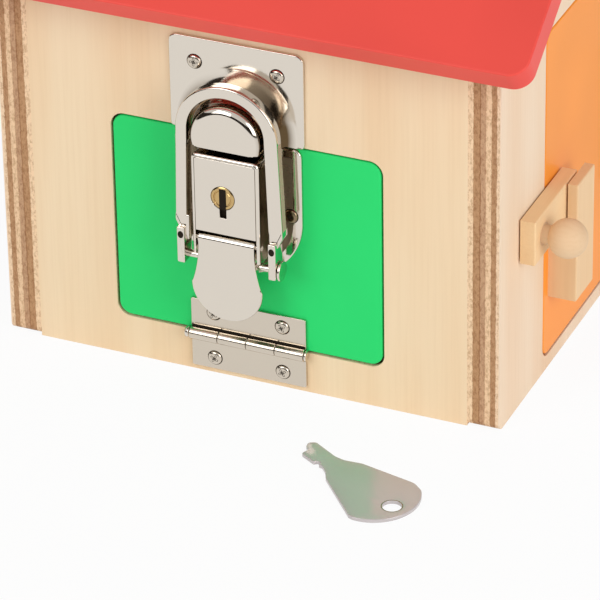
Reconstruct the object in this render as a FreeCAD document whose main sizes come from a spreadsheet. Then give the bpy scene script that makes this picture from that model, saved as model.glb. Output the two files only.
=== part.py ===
"""A house-shaped lock box of birch plywood: four doors, each with its own latch, and a key.

Millimetres. The origin is the middle of the underside, +Z is up and the green door faces -Y.
What sits on a wall is drawn as if on the front wall, X across, -Y outwards and Z up, and then
turned to its wall.
"""
import FreeCAD, Part
import Sketcher
import math
import os
import re
from FreeCAD import Placement, Rotation, Vector

doc = FreeCAD.newDocument("LockHouse")
sheet = doc.addObject("Spreadsheet::Sheet", "Sizes")

# Driving sizes

SIZES = (
    # the carcass
    ("house_width", 180.0),
    ("house_depth", 150.0),
    ("wall", 11.5),
    ("floor_thick", 5.0),
    ("foot_round", 3.0),
    ("wall_top", 153.3),
    # the roof
    ("roof_pitch", 35.0),
    ("roof_thick", 9.0),
    ("roof_front_overhang", 19.0),
    ("roof_side_overhang", 16.6),
    ("roof_corner", 6.5),
    # the doors and their openings
    ("front_open_width", 98.0),
    ("front_open_low", 15.25),
    ("front_open_high", 93.25),
    ("side_open_width", 70.0),
    ("side_open_low", 5.0),
    ("side_open_high", 129.0),
    ("open_corner", 5.0),
    ("door_thick", 7.5),
    ("door_gap", 0.75),
    ("door_corner", 4.4),
    ("door_edge", 0.6),
    ("stop_width", 6.0),
    ("stop_length", 60.0),
    ("stop_play", 0.3),
    # the butt hinges
    ("hinge_length", 42.0),
    ("hinge_reach", 13.1),
    ("leaf_start", 2.0),
    ("leaf_thick", 1.1),
    ("leaf_corner", 0.6),
    ("knuckle_radius", 1.8),
    ("knuckle_out", 1.85),
    ("knuckle_gap", 0.2),
    ("hinge_pin_radius", 0.9),
    ("hinge_head_radius", 1.5),
    ("hinge_head_thick", 0.6),
    ("hinge_screw_side", 12.5),
    ("hinge_screw_reach", 8.7),
    ("front_hinge_height", 15.2),
    ("side_hinge_height", 67.0),
    ("running_play", 0.06),
    # round-headed cross screws
    ("screw_head_radius", 2.6),
    ("screw_head_high", 1.4),
    ("screw_radius", 1.1),
    ("screw_length", 6.5),
    ("cross_length", 2.8),
    ("cross_width", 0.7),
    # the strike plate and its hump, above the green door
    ("latch_side", -2.3),
    ("plate_thick", 1.2),
    ("plate_edge", 0.5),
    ("strike_width", 48.0),
    ("strike_low", 93.4),
    ("strike_high", 127.5),
    ("strike_corner", 3.0),
    ("strike_screw_side", 14.7),
    ("strike_screw_height", 118.6),
    ("hump_out", 12.0),
    ("hump_front_radius", 12.9),
    ("hump_back_radius", 13.3),
    ("hump_height", 95.6),
    ("hump_rim", 3.0),
    ("skirt_radius", 18.5),
    ("skirt_cove", 5.2),
    # the latch case on the green door
    ("base_width", 45.6),
    ("base_high", 92.2),
    ("base_corner", 3.0),
    ("base_round_height", 65.0),
    ("base_screw_side", 18.8),
    ("base_screw_height", 67.5),
    ("case_width", 24.6),
    ("case_out", 12.2),
    ("case_high", 90.4),
    ("case_low", 62.0),
    ("cheek_low", 53.2),
    ("case_thick", 1.2),
    ("case_rim", 1.1),
    ("lock_radius", 4.2),
    ("lock_side", -3.1),
    ("lock_height", 75.8),
    ("lock_proud", 0.1),
    ("lock_length", 9.3),
    ("keyway_width", 2.4),
    ("keyway_depth", 8.0),
    ("keyway_above", 3.6),
    ("keyway_low", 68.3),
    ("cam_length", 9.5),
    ("cam_width", 5.0),
    ("cam_thick", 1.1),
    # the lever that hangs below the case
    ("lever_pivot_height", 58.7),
    ("lever_pivot_out", 10.5),
    ("lever_roll", 2.1),
    ("lever_thick", 1.4),
    ("lever_pin_radius", 0.9),
    ("lever_top_width", 20.4),
    ("lever_wide", 25.6),
    ("lever_low", 29.4),
    ("lever_waist_radius", 46.9),
    ("lever_waist_height", 57.0),
    ("ear_thick", 1.2),
    ("ear_margin", 2.0),
    # the bail and the pin that carries it
    ("bail_pin_height", 50.6),
    ("bail_pin_out", 8.9),
    ("bail_pin_radius", 1.25),
    ("bail_head_radius", 3.5),
    ("bail_head_thick", 0.8),
    ("bail_out", 10.8),
    ("bail_thick", 4.6),
    ("bail_edge", 0.7),
    ("bail_outer", 18.8),
    ("bail_inner", 14.6),
    ("bail_arch_outer", 17.6),
    ("bail_arch_inner", 13.7),
    ("bail_arch_height", 98.4),
    ("bail_leg_low", 56.6),
    ("bail_leg_cut", 61.4),
    ("bail_lug_inset", 0.6),
    ("bail_lug_width", 2.6),
    ("bail_lug_proud", 2.2),
    ("bail_lug_low", 48.4),
    ("bail_lug_high", 62.4),
    ("bail_hole_radius", 0.8),
    ("bail_hole_height", 59.0),
    # the key, flat on the ground in front
    ("key_thick", 1.3),
    ("key_hole_radius", 3.15),
    ("key_hole_along", 44.2),
    ("key_bow_radius", 15.4),
    ("key_bow_centre", 34.9),
    ("key_bow_start", 39.6),
    ("key_corner", 0.9),
    ("key_nick_radius", 1.2),
    ("key_side", 36.4),
    ("key_ahead", 34.8),
    ("key_turn", -29.5),
    # the turn latch on the right-hand side
    ("pivot_side", -50.7),
    ("pivot_height", 64.2),
    ("arm_back", 8.0),
    ("arm_reach", 31.0),
    ("arm_tall", 16.2),
    ("arm_thick", 5.4),
    ("arm_gap", 0.6),
    ("arm_edge", 0.6),
    ("knob_radius", 6.75),
    ("knob_out", 14.3),
    ("neck_radius", 4.0),
    ("neck_waist", 3.3),
    ("dowel_radius", 3.0),
    ("dowel_length", 9.0),
    ("washer_radius", 6.0),
    ("washer_thick", 0.5),
    ("catch_side", -30.6),
    ("catch_width", 16.0),
    ("catch_thick", 10.3),
    ("catch_low", 28.2),
    ("catch_high", 72.6),
    ("catch_lip", 3.6),
    ("catch_shoulder", 55.8),
    # the barrel bolt on the left-hand side
    ("bolt_height", 66.0),
    ("bolt_radius", 2.2),
    ("bolt_out", 4.2),
    ("bolt_back", -10.0),
    ("bolt_tip", 33.2),
    ("bolt_knob_side", 9.5),
    ("bolt_knob_out", 11.0),
    ("bolt_knob_radius", 2.8),
    ("bolt_stem_radius", 1.4),
    ("bolt_plate_start", 0.5),
    ("bolt_plate_length", 32.0),
    ("bolt_plate_tall", 16.0),
    ("bolt_screw_side", 16.5),
    ("bolt_screw_rise", 5.3),
    ("strap_width", 4.0),
    ("strap_tall", 8.4),
    ("strap_out", 7.6),
    ("strap_edge", 1.5),
    ("first_strap", 3.0),
    ("second_strap", 25.5),
    ("keeper_plate_start", 36.0),
    ("keeper_plate_length", 12.0),
    ("keeper_strap", 37.5),
    ("keeper_screw_side", 45.0),
    ("keeper_slot_tall", 5.6),
    ("keeper_slot_out", 6.8),
    # the turn button above the back door
    ("button_length", 30.0),
    ("button_tall", 10.0),
    ("button_thick", 5.0),
    ("button_corner", 4.6),
    ("button_height", 101.5),
    ("button_pin_radius", 1.6),
    ("button_head_radius", 3.4),
)

for row, (alias, value) in enumerate(SIZES, start=1):
    sheet.set(f"A{row}", alias)
    sheet.set(f"B{row}", str(value))
    sheet.setAlias(f"B{row}", alias)
doc.recompute()

ALIASES = {alias for alias, _ in SIZES}
NODES = []
AHEAD = Rotation(Vector(0, 1, 0), 90)
INWARDS = Rotation(Vector(1, 0, 0), -90)
OUTWARDS = Rotation(Vector(1, 0, 0), 90)
UPRIGHT = Rotation()
SPARE = "1"
SIDES = ("-", "+")


# Helpers

def bound(text):
    """Put the sheet's name before each of its sizes in an expression."""
    def named(word):
        return f"Sizes.{word.group()}" if word.group() in ALIASES else word.group()
    return re.sub(r"[a-z]\w*", named, text)


def size(alias):
    """The number that one cell of the sheet holds."""
    return float(sheet.get(alias))


def bind(thing, **sizes):
    """Tie an object's properties to expressions of the sheet's cells."""
    for name, text in sizes.items():
        thing.setExpression(name, bound(text))
    return thing


def put(thing, at=("0", "0", "0"), turn=UPRIGHT):
    """Turn an object and tie its place to expressions."""
    thing.Placement = Placement(Vector(), turn)
    for axis, text in zip("xyz", at):
        thing.setExpression(f"Placement.Base.{axis}", bound(text))
    return thing


def block(at, length, width, height, turn=UPRIGHT):
    """A box with its lowest corner at the given place."""
    thing = doc.addObject("Part::Box", "Block")
    bind(thing, Length=length, Width=width, Height=height)
    return put(thing, at, turn)


def middle_block(at, length, width, height):
    """A box with the middle of its length at the given place."""
    return block((f"{at[0]} - ({length})/2", at[1], at[2]), length, width, height)


def rod(at, radius, length, turn=UPRIGHT):
    """A cylinder that starts at the given place and runs along its turned axis."""
    thing = doc.addObject("Part::Cylinder", "Rod")
    bind(thing, Radius=radius, Height=length)
    return put(thing, at, turn)


def cone(at, start, end, length, turn=UPRIGHT):
    """A cone that starts at the given place and runs along its turned axis."""
    thing = doc.addObject("Part::Cone", "Cone")
    bind(thing, Radius1=start, Radius2=end, Height=length)
    return put(thing, at, turn)


def ball(at, radius):
    """A ball about the given place."""
    thing = doc.addObject("Part::Sphere", "Ball")
    bind(thing, Radius=radius)
    return put(thing, at)


def fuse(*pieces):
    """Join solids into one."""
    thing = doc.addObject("Part::MultiFuse", "Joined")
    thing.Shapes = list(pieces)
    thing.Refine = True
    return thing


def common(*pieces):
    """What solids share."""
    thing = doc.addObject("Part::MultiCommon", "Shared")
    thing.Shapes = list(pieces)
    return thing


def cut(base, *tools):
    """Take solids away from a base."""
    thing = doc.addObject("Part::Cut", "Cut")
    thing.Base = base
    thing.Tool = tools[0] if len(tools) == 1 else fuse(*tools)
    return thing


def together(*pieces):
    """Hold separate solids together without joining them."""
    thing = doc.addObject("Part::Compound", "Set")
    thing.Links = list(pieces)
    return thing


def rounded(base, radius, wanted):
    """Round the edges of a solid that a test on an edge picks out."""
    doc.recompute()
    picked = [number for number, edge in enumerate(base.Shape.Edges, start=1) if wanted(edge)]
    thing = doc.addObject("Part::Fillet", "Rounded")
    thing.Base = base
    thing.Edges = [(number, size(radius), size(radius)) for number in picked]
    return thing


def runs(edge, direction):
    """Whether an edge is straight and runs in a direction."""
    start, end = edge.Vertexes[0].Point, edge.Vertexes[-1].Point
    straight = abs(edge.Length - start.distanceToPoint(end)) < 1e-6
    return straight and abs((end - start).normalize().dot(direction)) > 0.999


def crosswise(edge):
    """Whether an edge runs straight into the wall."""
    return runs(edge, Vector(0, 1, 0))


def on_plane(edge, axis, place):
    """Whether the whole of an edge lies at one place along an axis."""
    return all(abs(getattr(point, axis) - place) < 1e-4 for point in edge.discretize(5))


def padded(plane, corners, thick, reverse=False):
    """A flat piece padded from an outline with straight sides on one of the origin's planes."""
    body = doc.addObject("PartDesign::Body", "Body")
    origin = next(face for face in body.Origin.OriginFeatures if face.Role == plane)
    sketch = body.newObject("Sketcher::SketchObject", "Outline")
    sketch.AttachmentSupport = [(origin, "")]
    sketch.MapMode = "FlatFace"
    count = len(corners)
    turns = [2 * math.pi * number / count for number in range(count + 1)]
    ring = [Vector(math.cos(turn), math.sin(turn), 0) for turn in turns]
    for number in range(count):
        sketch.addGeometry(Part.LineSegment(ring[number], ring[number + 1]), False)
    for number in range(count):
        sketch.addConstraint(Sketcher.Constraint("Coincident", number, 2, (number + 1) % count, 1))
    for number, corner in enumerate(corners):
        for kind, text in zip(("DistanceX", "DistanceY"), corner):
            place = sketch.addConstraint(Sketcher.Constraint(kind, -1, 1, number, 1, 1.0))
            sketch.setExpression(f"Constraints[{place}]", bound(text))
    pad = body.newObject("PartDesign::Pad", "Pad")
    pad.Profile = sketch
    pad.Reversed = reverse
    bind(pad, Length=thick)
    return body


def node(thing, label):
    """Name a finished sub-part."""
    thing.Label = label
    NODES.append(thing)
    return thing


WALLS = {
    "front": (("{across}", "-house_depth/2", "{up}"), 0),
    "right": (("house_width/2", "{across}", "{up}"), 90),
    "back": (("-({across})", "house_depth/2", "{up}"), 180),
    "left": (("-house_width/2", "-({across})", "{up}"), -90),
}


def on_wall(thing, wall, across="0", up="0", spin=0):
    """Turn a piece drawn for the front wall to any wall, spun about the way out if asked.

    The piece is carried in a set of its own, so the place it was drawn at is kept.
    """
    at, heading = WALLS[wall]
    turn = Rotation(Vector(0, 0, 1), heading) * Rotation(Vector(0, 1, 0), spin)
    return put(together(thing), [text.format(across=across, up=up) for text in at], turn)


# Screws

def screw(across, up, out):
    """A round-headed cross screw whose head rests at a distance out from the wall."""
    shank = rod((across, f"screw_length - ({out})", up), "screw_radius", "screw_length", OUTWARDS)
    rim = rod((across, f"-({out})", up), "screw_head_radius", "screw_head_high/2", OUTWARDS)
    crown = cone((across, f"-({out}) - screw_head_high/2", up), "screw_head_radius",
                 "screw_head_radius*0.6", "screw_head_high/2", OUTWARDS)
    face = f"-({out}) - screw_head_high - {SPARE}"
    depth = f"screw_head_high*0.6 + {SPARE}"
    level = block((f"{across} - cross_length/2", face, f"{up} - cross_width/2"),
                  "cross_length", depth, "cross_width")
    upright = block((f"{across} - cross_width/2", face, f"{up} - cross_length/2"),
                    "cross_width", depth, "cross_length")
    return cut(fuse(shank, rim, crown), level, upright)


def screws(places, out):
    """A screw at each place, its head on what it holds down."""
    return together(*[screw(across, up, out) for across, up in places])


def holes(places):
    """The holes that the screws at these places go through and into."""
    return together(*[rod((across, "-screw_length", up), "screw_radius", "screw_length*2", INWARDS)
                      for across, up in places])


def both_sides(middle, reach, up):
    """Two places, a reach to either side of a middle."""
    return [(f"{middle} {side} {reach}", up) for side in SIDES]


def both_heights(across, middle, rise):
    """Two places, a rise below and above a middle."""
    return [(across, f"{middle} {side} {rise}") for side in SIDES]


FIXED_SCREWS = both_sides("0", "hinge_screw_side", "-hinge_screw_reach")
MOVING_SCREWS = both_sides("0", "hinge_screw_side", "hinge_screw_reach")
STRIKE_SCREWS = both_sides("latch_side", "strike_screw_side", "strike_screw_height")
BASE_SCREWS = both_sides("latch_side", "base_screw_side", "base_screw_height")
BOLT_SCREWS = both_heights("bolt_screw_side", "bolt_height", "bolt_screw_rise")
KEEPER_SCREWS = both_heights("keeper_screw_side", "bolt_height", "bolt_screw_rise")

HINGES = {
    "front": ("0", "front_hinge_height", 0),
    "back": ("0", "front_hinge_height", 0),
    "right": ("side_open_width/2", "side_hinge_height", -90),
    "left": ("-side_open_width/2", "side_hinge_height", 90),
}


def hinge_holes(wall, places):
    """The screw holes of a wall's hinge, in the drawing of that wall."""
    across, up, spin = HINGES[wall]
    return put(holes(places), (across, "0", up), Rotation(Vector(0, 1, 0), spin))


# The carcass

def opening(width, low, high):
    """The space that a doorway takes out of a wall."""
    space = middle_block(("0", f"-{SPARE}", low), width, f"wall + 2*{SPARE}", f"{high} - {low}")
    return rounded(space, "open_corner", crosswise)


def side_wall(wall):
    """A gable-topped side wall as deep as the house, with a tall doorway."""
    ridge = "wall_top + house_depth/2*tan(roof_pitch)"
    gable = padded("XZ_Plane", [("-house_depth/2", "0"), ("house_depth/2", "0"),
                                ("house_depth/2", "wall_top"), ("0", ridge),
                                ("-house_depth/2", "wall_top")], "wall", reverse=True)
    footed = rounded(gable, "foot_round", lambda edge: crosswise(edge) and on_plane(edge, "z", 0))
    tools = [opening("side_open_width", "side_open_low", "side_open_high"),
             hinge_holes(wall, FIXED_SCREWS)]
    if wall == "right":
        tools.append(rod(("pivot_side", f"-{SPARE}", "pivot_height"), "dowel_radius",
                         f"dowel_length + {SPARE}", INWARDS))
    else:
        tools.append(holes(KEEPER_SCREWS))
    node(on_wall(cut(footed, *tools), wall), f"wall_{wall}")


def end_wall(wall):
    """A wall between the side walls, its top planed to the roof's slope."""
    board = middle_block(("0", "0", "0"), "house_width - 2*wall", "wall",
                         "wall_top + wall*tan(roof_pitch)")
    slope = block(("-house_width", "0", "wall_top"), "2*house_width", "2*wall", "2*wall",
                  Rotation(Vector(1, 0, 0), size("roof_pitch")))
    tools = [slope, opening("front_open_width", "front_open_low", "front_open_high"),
             hinge_holes(wall, FIXED_SCREWS)]
    if wall == "front":
        tools.append(holes(STRIKE_SCREWS))
    else:
        tools.append(rod(("0", f"-{SPARE}", "button_height"), "button_pin_radius",
                         f"screw_length + {SPARE}", INWARDS))
    node(on_wall(cut(board, *tools), wall), f"wall_{wall}")


def roof_board(wall):
    """Half of the roof: a board with rounded eave corners, mitred where the halves meet."""
    length = "(house_depth/2 + roof_front_overhang)/cos(roof_pitch)"
    board = middle_block(("0", f"-{length}", "0"), "house_width + 2*roof_side_overhang",
                         f"{length} + roof_thick*2", "roof_thick")
    eave = -(size("house_depth") / 2 + size("roof_front_overhang"))
    eave = eave / math.cos(math.radians(size("roof_pitch")))
    shaped = rounded(board, "roof_corner",
                     lambda edge: runs(edge, Vector(0, 0, 1)) and on_plane(edge, "y", eave))
    softened = rounded(shaped, "door_edge", lambda edge: on_plane(edge, "z", size("roof_thick")))
    put(softened, ("0", "house_depth/2", "wall_top + house_depth/2*tan(roof_pitch)"),
        Rotation(Vector(1, 0, 0), size("roof_pitch")))
    beyond = block(("-house_width", "house_depth/2", "0"), "2*house_width", "house_depth",
                   "3*wall_top")
    node(on_wall(cut(softened, beyond), wall), f"roof_{wall}")


def stops():
    """The strips that each door shuts against, inside its doorway."""
    lintel_depth = "wall - door_thick - stop_play"
    for wall in ("front", "back"):
        strip = middle_block(("0", "door_thick + stop_play", "front_open_high - stop_width"),
                             "stop_length", lintel_depth, "stop_width")
        node(on_wall(strip, wall), f"door_stop_{wall}")
    for wall, edge in (("right", "-side_open_width/2"), ("left", "side_open_width/2 - stop_width")):
        strip = block((edge, "door_thick + stop_play", "side_hinge_height - stop_length/2"),
                      "stop_width", lintel_depth, "stop_length")
        node(on_wall(strip, wall), f"door_stop_{wall}")


def carcass():
    """Four walls, a floor board between them, two roof boards and the door stops."""
    for wall in ("right", "left"):
        side_wall(wall)
    for wall in ("front", "back"):
        end_wall(wall)
        roof_board(wall)
    floor_board = block(("wall - house_width/2", "wall - house_depth/2", "0"),
                        "house_width - 2*wall", "house_depth - 2*wall", "floor_thick")
    node(floor_board, "floor_board")
    stops()


# The doors and their hinges

def door_panel(wall, width, low, high, *tools):
    """A board that fills its doorway but for a thin gap, its outer edges eased."""
    board = middle_block(("0", "0", f"{low} + door_gap"), f"{width} - 2*door_gap", "door_thick",
                         f"{high} - {low} - 2*door_gap")
    shaped = rounded(board, "door_corner", crosswise)
    eased = rounded(shaped, "door_edge", lambda edge: on_plane(edge, "y", 0))
    panel = cut(eased, hinge_holes(wall, MOVING_SCREWS), *tools)
    node(on_wall(panel, wall), f"door_{wall}")


def hinge_leaf(bore):
    """A stamped leaf with two of the hinge's four knuckles, drilled for the screws and the pin."""
    plate = middle_block(("0", "-leaf_thick", "leaf_start"), "hinge_length", "leaf_thick",
                         "hinge_reach - leaf_start")
    pieces = [rounded(plate, "leaf_corner",
                      lambda edge: crosswise(edge) and on_plane(edge, "z", size("hinge_reach")))]
    for number in (1, 3):
        start = f"-hinge_length/2 + {number}*hinge_length/4 + knuckle_gap/2"
        length = "hinge_length/4 - knuckle_gap"
        pieces.append(rod((start, "-knuckle_out", "0"), "knuckle_radius", length, AHEAD))
        pieces.append(block((start, "-leaf_thick", "0"), length, "leaf_thick", "leaf_start"))
    pin_hole = rod((f"-hinge_length/2 - {SPARE}", "-knuckle_out", "0"), bore,
                   f"hinge_length + 2*{SPARE}", AHEAD)
    return cut(fuse(*pieces), pin_hole, holes(MOVING_SCREWS))


def hinge(wall):
    """A butt hinge: a leaf on the door, its twin turned over on the wall, and a headed pin."""
    across, up, spin = HINGES[wall]
    turned_over = Rotation(Vector(0, 1, 0), 180)
    wall_leaf = put(hinge_leaf("hinge_pin_radius"), turn=turned_over)
    door_leaf = hinge_leaf("hinge_pin_radius + running_play")
    shaft = rod(("-hinge_length/2", "-knuckle_out", "0"), "hinge_pin_radius", "hinge_length", AHEAD)
    head = rod(("hinge_length/2", "-knuckle_out", "0"), "hinge_head_radius", "hinge_head_thick",
               AHEAD)
    for piece, name in ((wall_leaf, "wall_leaf"), (door_leaf, "door_leaf"),
                        (fuse(shaft, head), "pin")):
        node(on_wall(piece, wall, across, up, spin), f"hinge_{wall}_{name}")


def doors():
    """Two low doors hinged at their feet, two tall ones at their back edge."""
    front = ("front_open_width", "front_open_low", "front_open_high")
    side = ("side_open_width", "side_open_low", "side_open_high")
    door_panel("front", *front, holes(BASE_SCREWS))
    door_panel("back", *front)
    door_panel("right", *side)
    door_panel("left", *side, holes(BOLT_SCREWS))
    for wall in WALLS:
        hinge(wall)


def hinge_screws(wall, places):
    """The screws of a wall's hinge."""
    across, up, spin = HINGES[wall]
    return on_wall(screws(places, "leaf_thick"), wall, across, up, spin)


def screw_sets():
    """The screws, one set for the carcass and one for each door."""
    carcass_sets = [hinge_screws(wall, FIXED_SCREWS) for wall in WALLS]
    carcass_sets.append(on_wall(screws(STRIKE_SCREWS, "plate_thick"), "front"))
    carcass_sets.append(on_wall(screws(KEEPER_SCREWS, "plate_thick"), "left"))
    node(together(*carcass_sets), "carcass_screws")
    on_doors = {"front": BASE_SCREWS, "left": BOLT_SCREWS}
    for wall in WALLS:
        sets = [hinge_screws(wall, MOVING_SCREWS)]
        if wall in on_doors:
            sets.append(on_wall(screws(on_doors[wall], "plate_thick"), wall))
        node(together(*sets), f"door_{wall}_screws")


# The key-locking draw latch on the green door

def strike():
    """The plate above the door, its domed hump flaring into the plate like a pressed cove."""
    plate = middle_block(("latch_side", "-plate_thick", "strike_low"), "strike_width",
                         "plate_thick", "strike_high - strike_low")
    shaped = rounded(plate, "strike_corner", crosswise)
    eased = rounded(shaped, "plate_edge", lambda edge: on_plane(edge, "y", -size("plate_thick")))
    middle = ("latch_side", "-plate_thick", "hump_height")
    dome = cone(middle, "hump_back_radius", "hump_front_radius", "hump_out - plate_thick", OUTWARDS)
    crowned = rounded(dome, "hump_rim", lambda edge: on_plane(edge, "y", -size("hump_out")))
    disc = rod(middle, "skirt_radius", "skirt_cove", OUTWARDS)
    ring = doc.addObject("Part::Torus", "Cove")
    bind(ring, Radius1="skirt_radius", Radius2="skirt_cove")
    put(ring, ("latch_side", "-plate_thick - skirt_cove", "hump_height"), OUTWARDS)
    below = middle_block(("latch_side", "-2*hump_out", "0"), "2*strike_width", "2*hump_out",
                         "strike_low")
    hump = cut(fuse(crowned, cut(disc, ring)), below)
    solid = cut(fuse(eased, hump), holes(STRIKE_SCREWS))
    node(on_wall(solid, "front"), "strike_plate")


def latch_base():
    """The shield-shaped plate on the door that carries the case."""
    disc = rod(("latch_side", "0", "base_round_height"), "base_width/2", "plate_thick", OUTWARDS)
    upper = middle_block(("latch_side", "-plate_thick", "base_round_height"), "base_width",
                         "plate_thick", "base_high - base_round_height")
    shaped = rounded(fuse(disc, upper), "base_corner",
                     lambda edge: crosswise(edge) and on_plane(edge, "z", size("base_high")))
    shield = rounded(shaped, "plate_edge", lambda edge: on_plane(edge, "y", -size("plate_thick")))
    node(on_wall(cut(shield, holes(BASE_SCREWS)), "front"), "latch_base_plate")


def latch_case():
    """The folded case: a front with the keyhole, and cheeks that reach down for the lever."""
    reach = "case_out - plate_thick"
    shell = middle_block(("latch_side", "-case_out", "cheek_low"), "case_width", reach,
                         "case_high - cheek_low")

    def outer(edge):
        front = on_plane(edge, "y", -size("case_out"))
        return front and not on_plane(edge, "z", size("cheek_low"))
    folded = rounded(shell, "case_rim", outer)
    inner_width = "case_width - 2*case_thick"
    hollow = middle_block(("latch_side", "-case_out + case_thick", f"cheek_low - {SPARE}"),
                          inner_width, reach,
                          f"case_high - case_thick - cheek_low + {SPARE}")
    window = middle_block(("latch_side", f"-case_out - {SPARE}", f"cheek_low - {SPARE}"),
                          inner_width, "case_out", f"case_low - cheek_low + {SPARE}")
    lock_hole = rod(("lock_side", f"-case_out - {SPARE}", "lock_height"),
                    "lock_radius + running_play", f"case_thick + 2*{SPARE}", INWARDS)
    slot = middle_block(("lock_side", f"-case_out - {SPARE}", "keyway_low"), "keyway_width",
                        f"case_thick + 2*{SPARE}", "lock_height - keyway_low")
    pin_hole = rod((f"latch_side - case_width/2 - {SPARE}", "-lever_pivot_out",
                    "lever_pivot_height"), "lever_pin_radius", f"case_width + 2*{SPARE}", AHEAD)
    node(on_wall(cut(folded, hollow, window, lock_hole, slot, pin_hole), "front"), "latch_case")
    pin = rod(("latch_side - case_width/2", "-lever_pivot_out", "lever_pivot_height"),
              "lever_pin_radius", "case_width", AHEAD)
    node(on_wall(pin, "front"), "lever_pin")


def lock():
    """The brass lock cylinder with its keyway, and the cam on its inner end."""
    start = "-case_out - lock_proud"
    plug = rod(("lock_side", start, "lock_height"), "lock_radius", "lock_length", INWARDS)
    keyway = middle_block(("lock_side", f"{start} - {SPARE}", f"lock_height - lock_radius - {SPARE}"),
                          "keyway_width", f"keyway_depth + {SPARE}",
                          f"lock_radius + keyway_above + {SPARE}")
    node(on_wall(cut(plug, keyway), "front"), "lock_cylinder")
    cam = middle_block(("lock_side", f"{start} + lock_length", "lock_height - cam_length"),
                       "cam_width", "cam_thick", "cam_length + cam_width/2")
    node(on_wall(cam, "front"), "lock_cam")


def lever():
    """The bell-shaped lever, rolled round its pin at the top, with two ears for the bail's pin."""
    front = "-lever_pivot_out - lever_roll"
    bell_height = "lever_low + lever_wide/2"
    disc = rod(("latch_side", front, bell_height), "lever_wide/2", "lever_thick", INWARDS)
    strip = middle_block(("latch_side", front, bell_height), "lever_wide", "lever_thick",
                         f"lever_pivot_height - ({bell_height})")
    waists = [rod((f"latch_side {side} (lever_top_width/2 + lever_waist_radius)",
                   f"{front} - {SPARE}", "lever_waist_height"), "lever_waist_radius",
                  f"lever_thick + 2*{SPARE}", INWARDS) for side in SIDES]
    tongue = cut(fuse(disc, strip), *waists)
    roll = rod(("latch_side - lever_top_width/2", "-lever_pivot_out", "lever_pivot_height"),
               "lever_roll", "lever_top_width", AHEAD)
    low = "bail_pin_height - ear_margin"
    ears = [block((f"latch_side {side}", front, low), "ear_thick",
                  f"-bail_pin_out + ear_margin - ({front})", f"lever_pivot_height - ({low})")
            for side in ("- lever_top_width/2", "+ lever_top_width/2 - ear_thick")]
    pin_hole = rod(("latch_side - lever_wide", "-lever_pivot_out", "lever_pivot_height"),
                   "lever_pin_radius + running_play", "2*lever_wide", AHEAD)
    bail_hole = rod(("latch_side - lever_wide", "-bail_pin_out", "bail_pin_height"),
                    "bail_pin_radius", "2*lever_wide", AHEAD)
    node(on_wall(cut(fuse(tongue, roll, *ears), pin_hole, bail_hole), "front"), "latch_lever")
    end = "bail_inner + bail_lug_inset + bail_lug_width"
    pin = fuse(rod((f"latch_side - ({end})", "-bail_pin_out", "bail_pin_height"),
                   "bail_pin_radius", f"2*({end}) + 0.2", AHEAD),
               rod((f"latch_side + {end} + 0.2", "-bail_pin_out", "bail_pin_height"),
                   "bail_head_radius", "bail_head_thick", AHEAD))
    node(on_wall(pin, "front"), "bail_pin")


def bail_leg(side):
    """One leg of the bail: it leans out on its way down, and its outer corner is cut away."""
    corners = [(f"{side}bail_inner", "bail_leg_low"),
               (f"{side}(bail_inner + bail_lug_width)", "bail_leg_low"),
               (f"{side}bail_outer", "bail_leg_cut"),
               (f"{side}bail_arch_outer", "bail_arch_height"),
               (f"{side}bail_arch_inner", "bail_arch_height")]
    return put(padded("XZ_Plane", corners, "bail_thick", reverse=True),
               ("latch_side", "-bail_out", "0"))


def bail():
    """The U-shaped bail: an arch on two legs, each with a lug on its front that takes the pin."""
    front = "-bail_out"
    arch = rod(("latch_side", front, "bail_arch_height"), "bail_arch_outer", "bail_thick", INWARDS)
    inside = rod(("latch_side", f"{front} - {SPARE}", "bail_arch_height"), "bail_arch_inner",
                 f"bail_thick + 2*{SPARE}", INWARDS)
    below = middle_block(("latch_side", f"{front} - {SPARE}", "0"), "4*bail_outer",
                         f"bail_thick + 2*{SPARE}", "bail_arch_height")
    loop = rounded(fuse(cut(arch, inside, below), *[bail_leg(side) for side in SIDES]), "bail_edge",
                   lambda edge: on_plane(edge, "y", -size("bail_out")))
    lugs = [block((f"latch_side {side}", f"{front} - bail_lug_proud", "bail_lug_low"),
                  "bail_lug_width", "bail_thick + bail_lug_proud", "bail_lug_high - bail_lug_low")
            for side in ("- bail_inner - bail_lug_inset - bail_lug_width",
                         "+ bail_inner + bail_lug_inset")]
    pin_hole = rod(("latch_side - 2*bail_outer", "-bail_pin_out", "bail_pin_height"),
                   "bail_pin_radius + running_play", "4*bail_outer", AHEAD)
    dimples = [rod((f"latch_side {side} (bail_inner + bail_lug_inset + bail_lug_width/2)",
                    f"{front} - bail_lug_proud - {SPARE}", "bail_hole_height"), "bail_hole_radius",
                   f"bail_thick/2 + {SPARE}", INWARDS) for side in SIDES]
    node(on_wall(cut(fuse(loop, *lugs), pin_hole, *dimples), "front"), "latch_bail")


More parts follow.
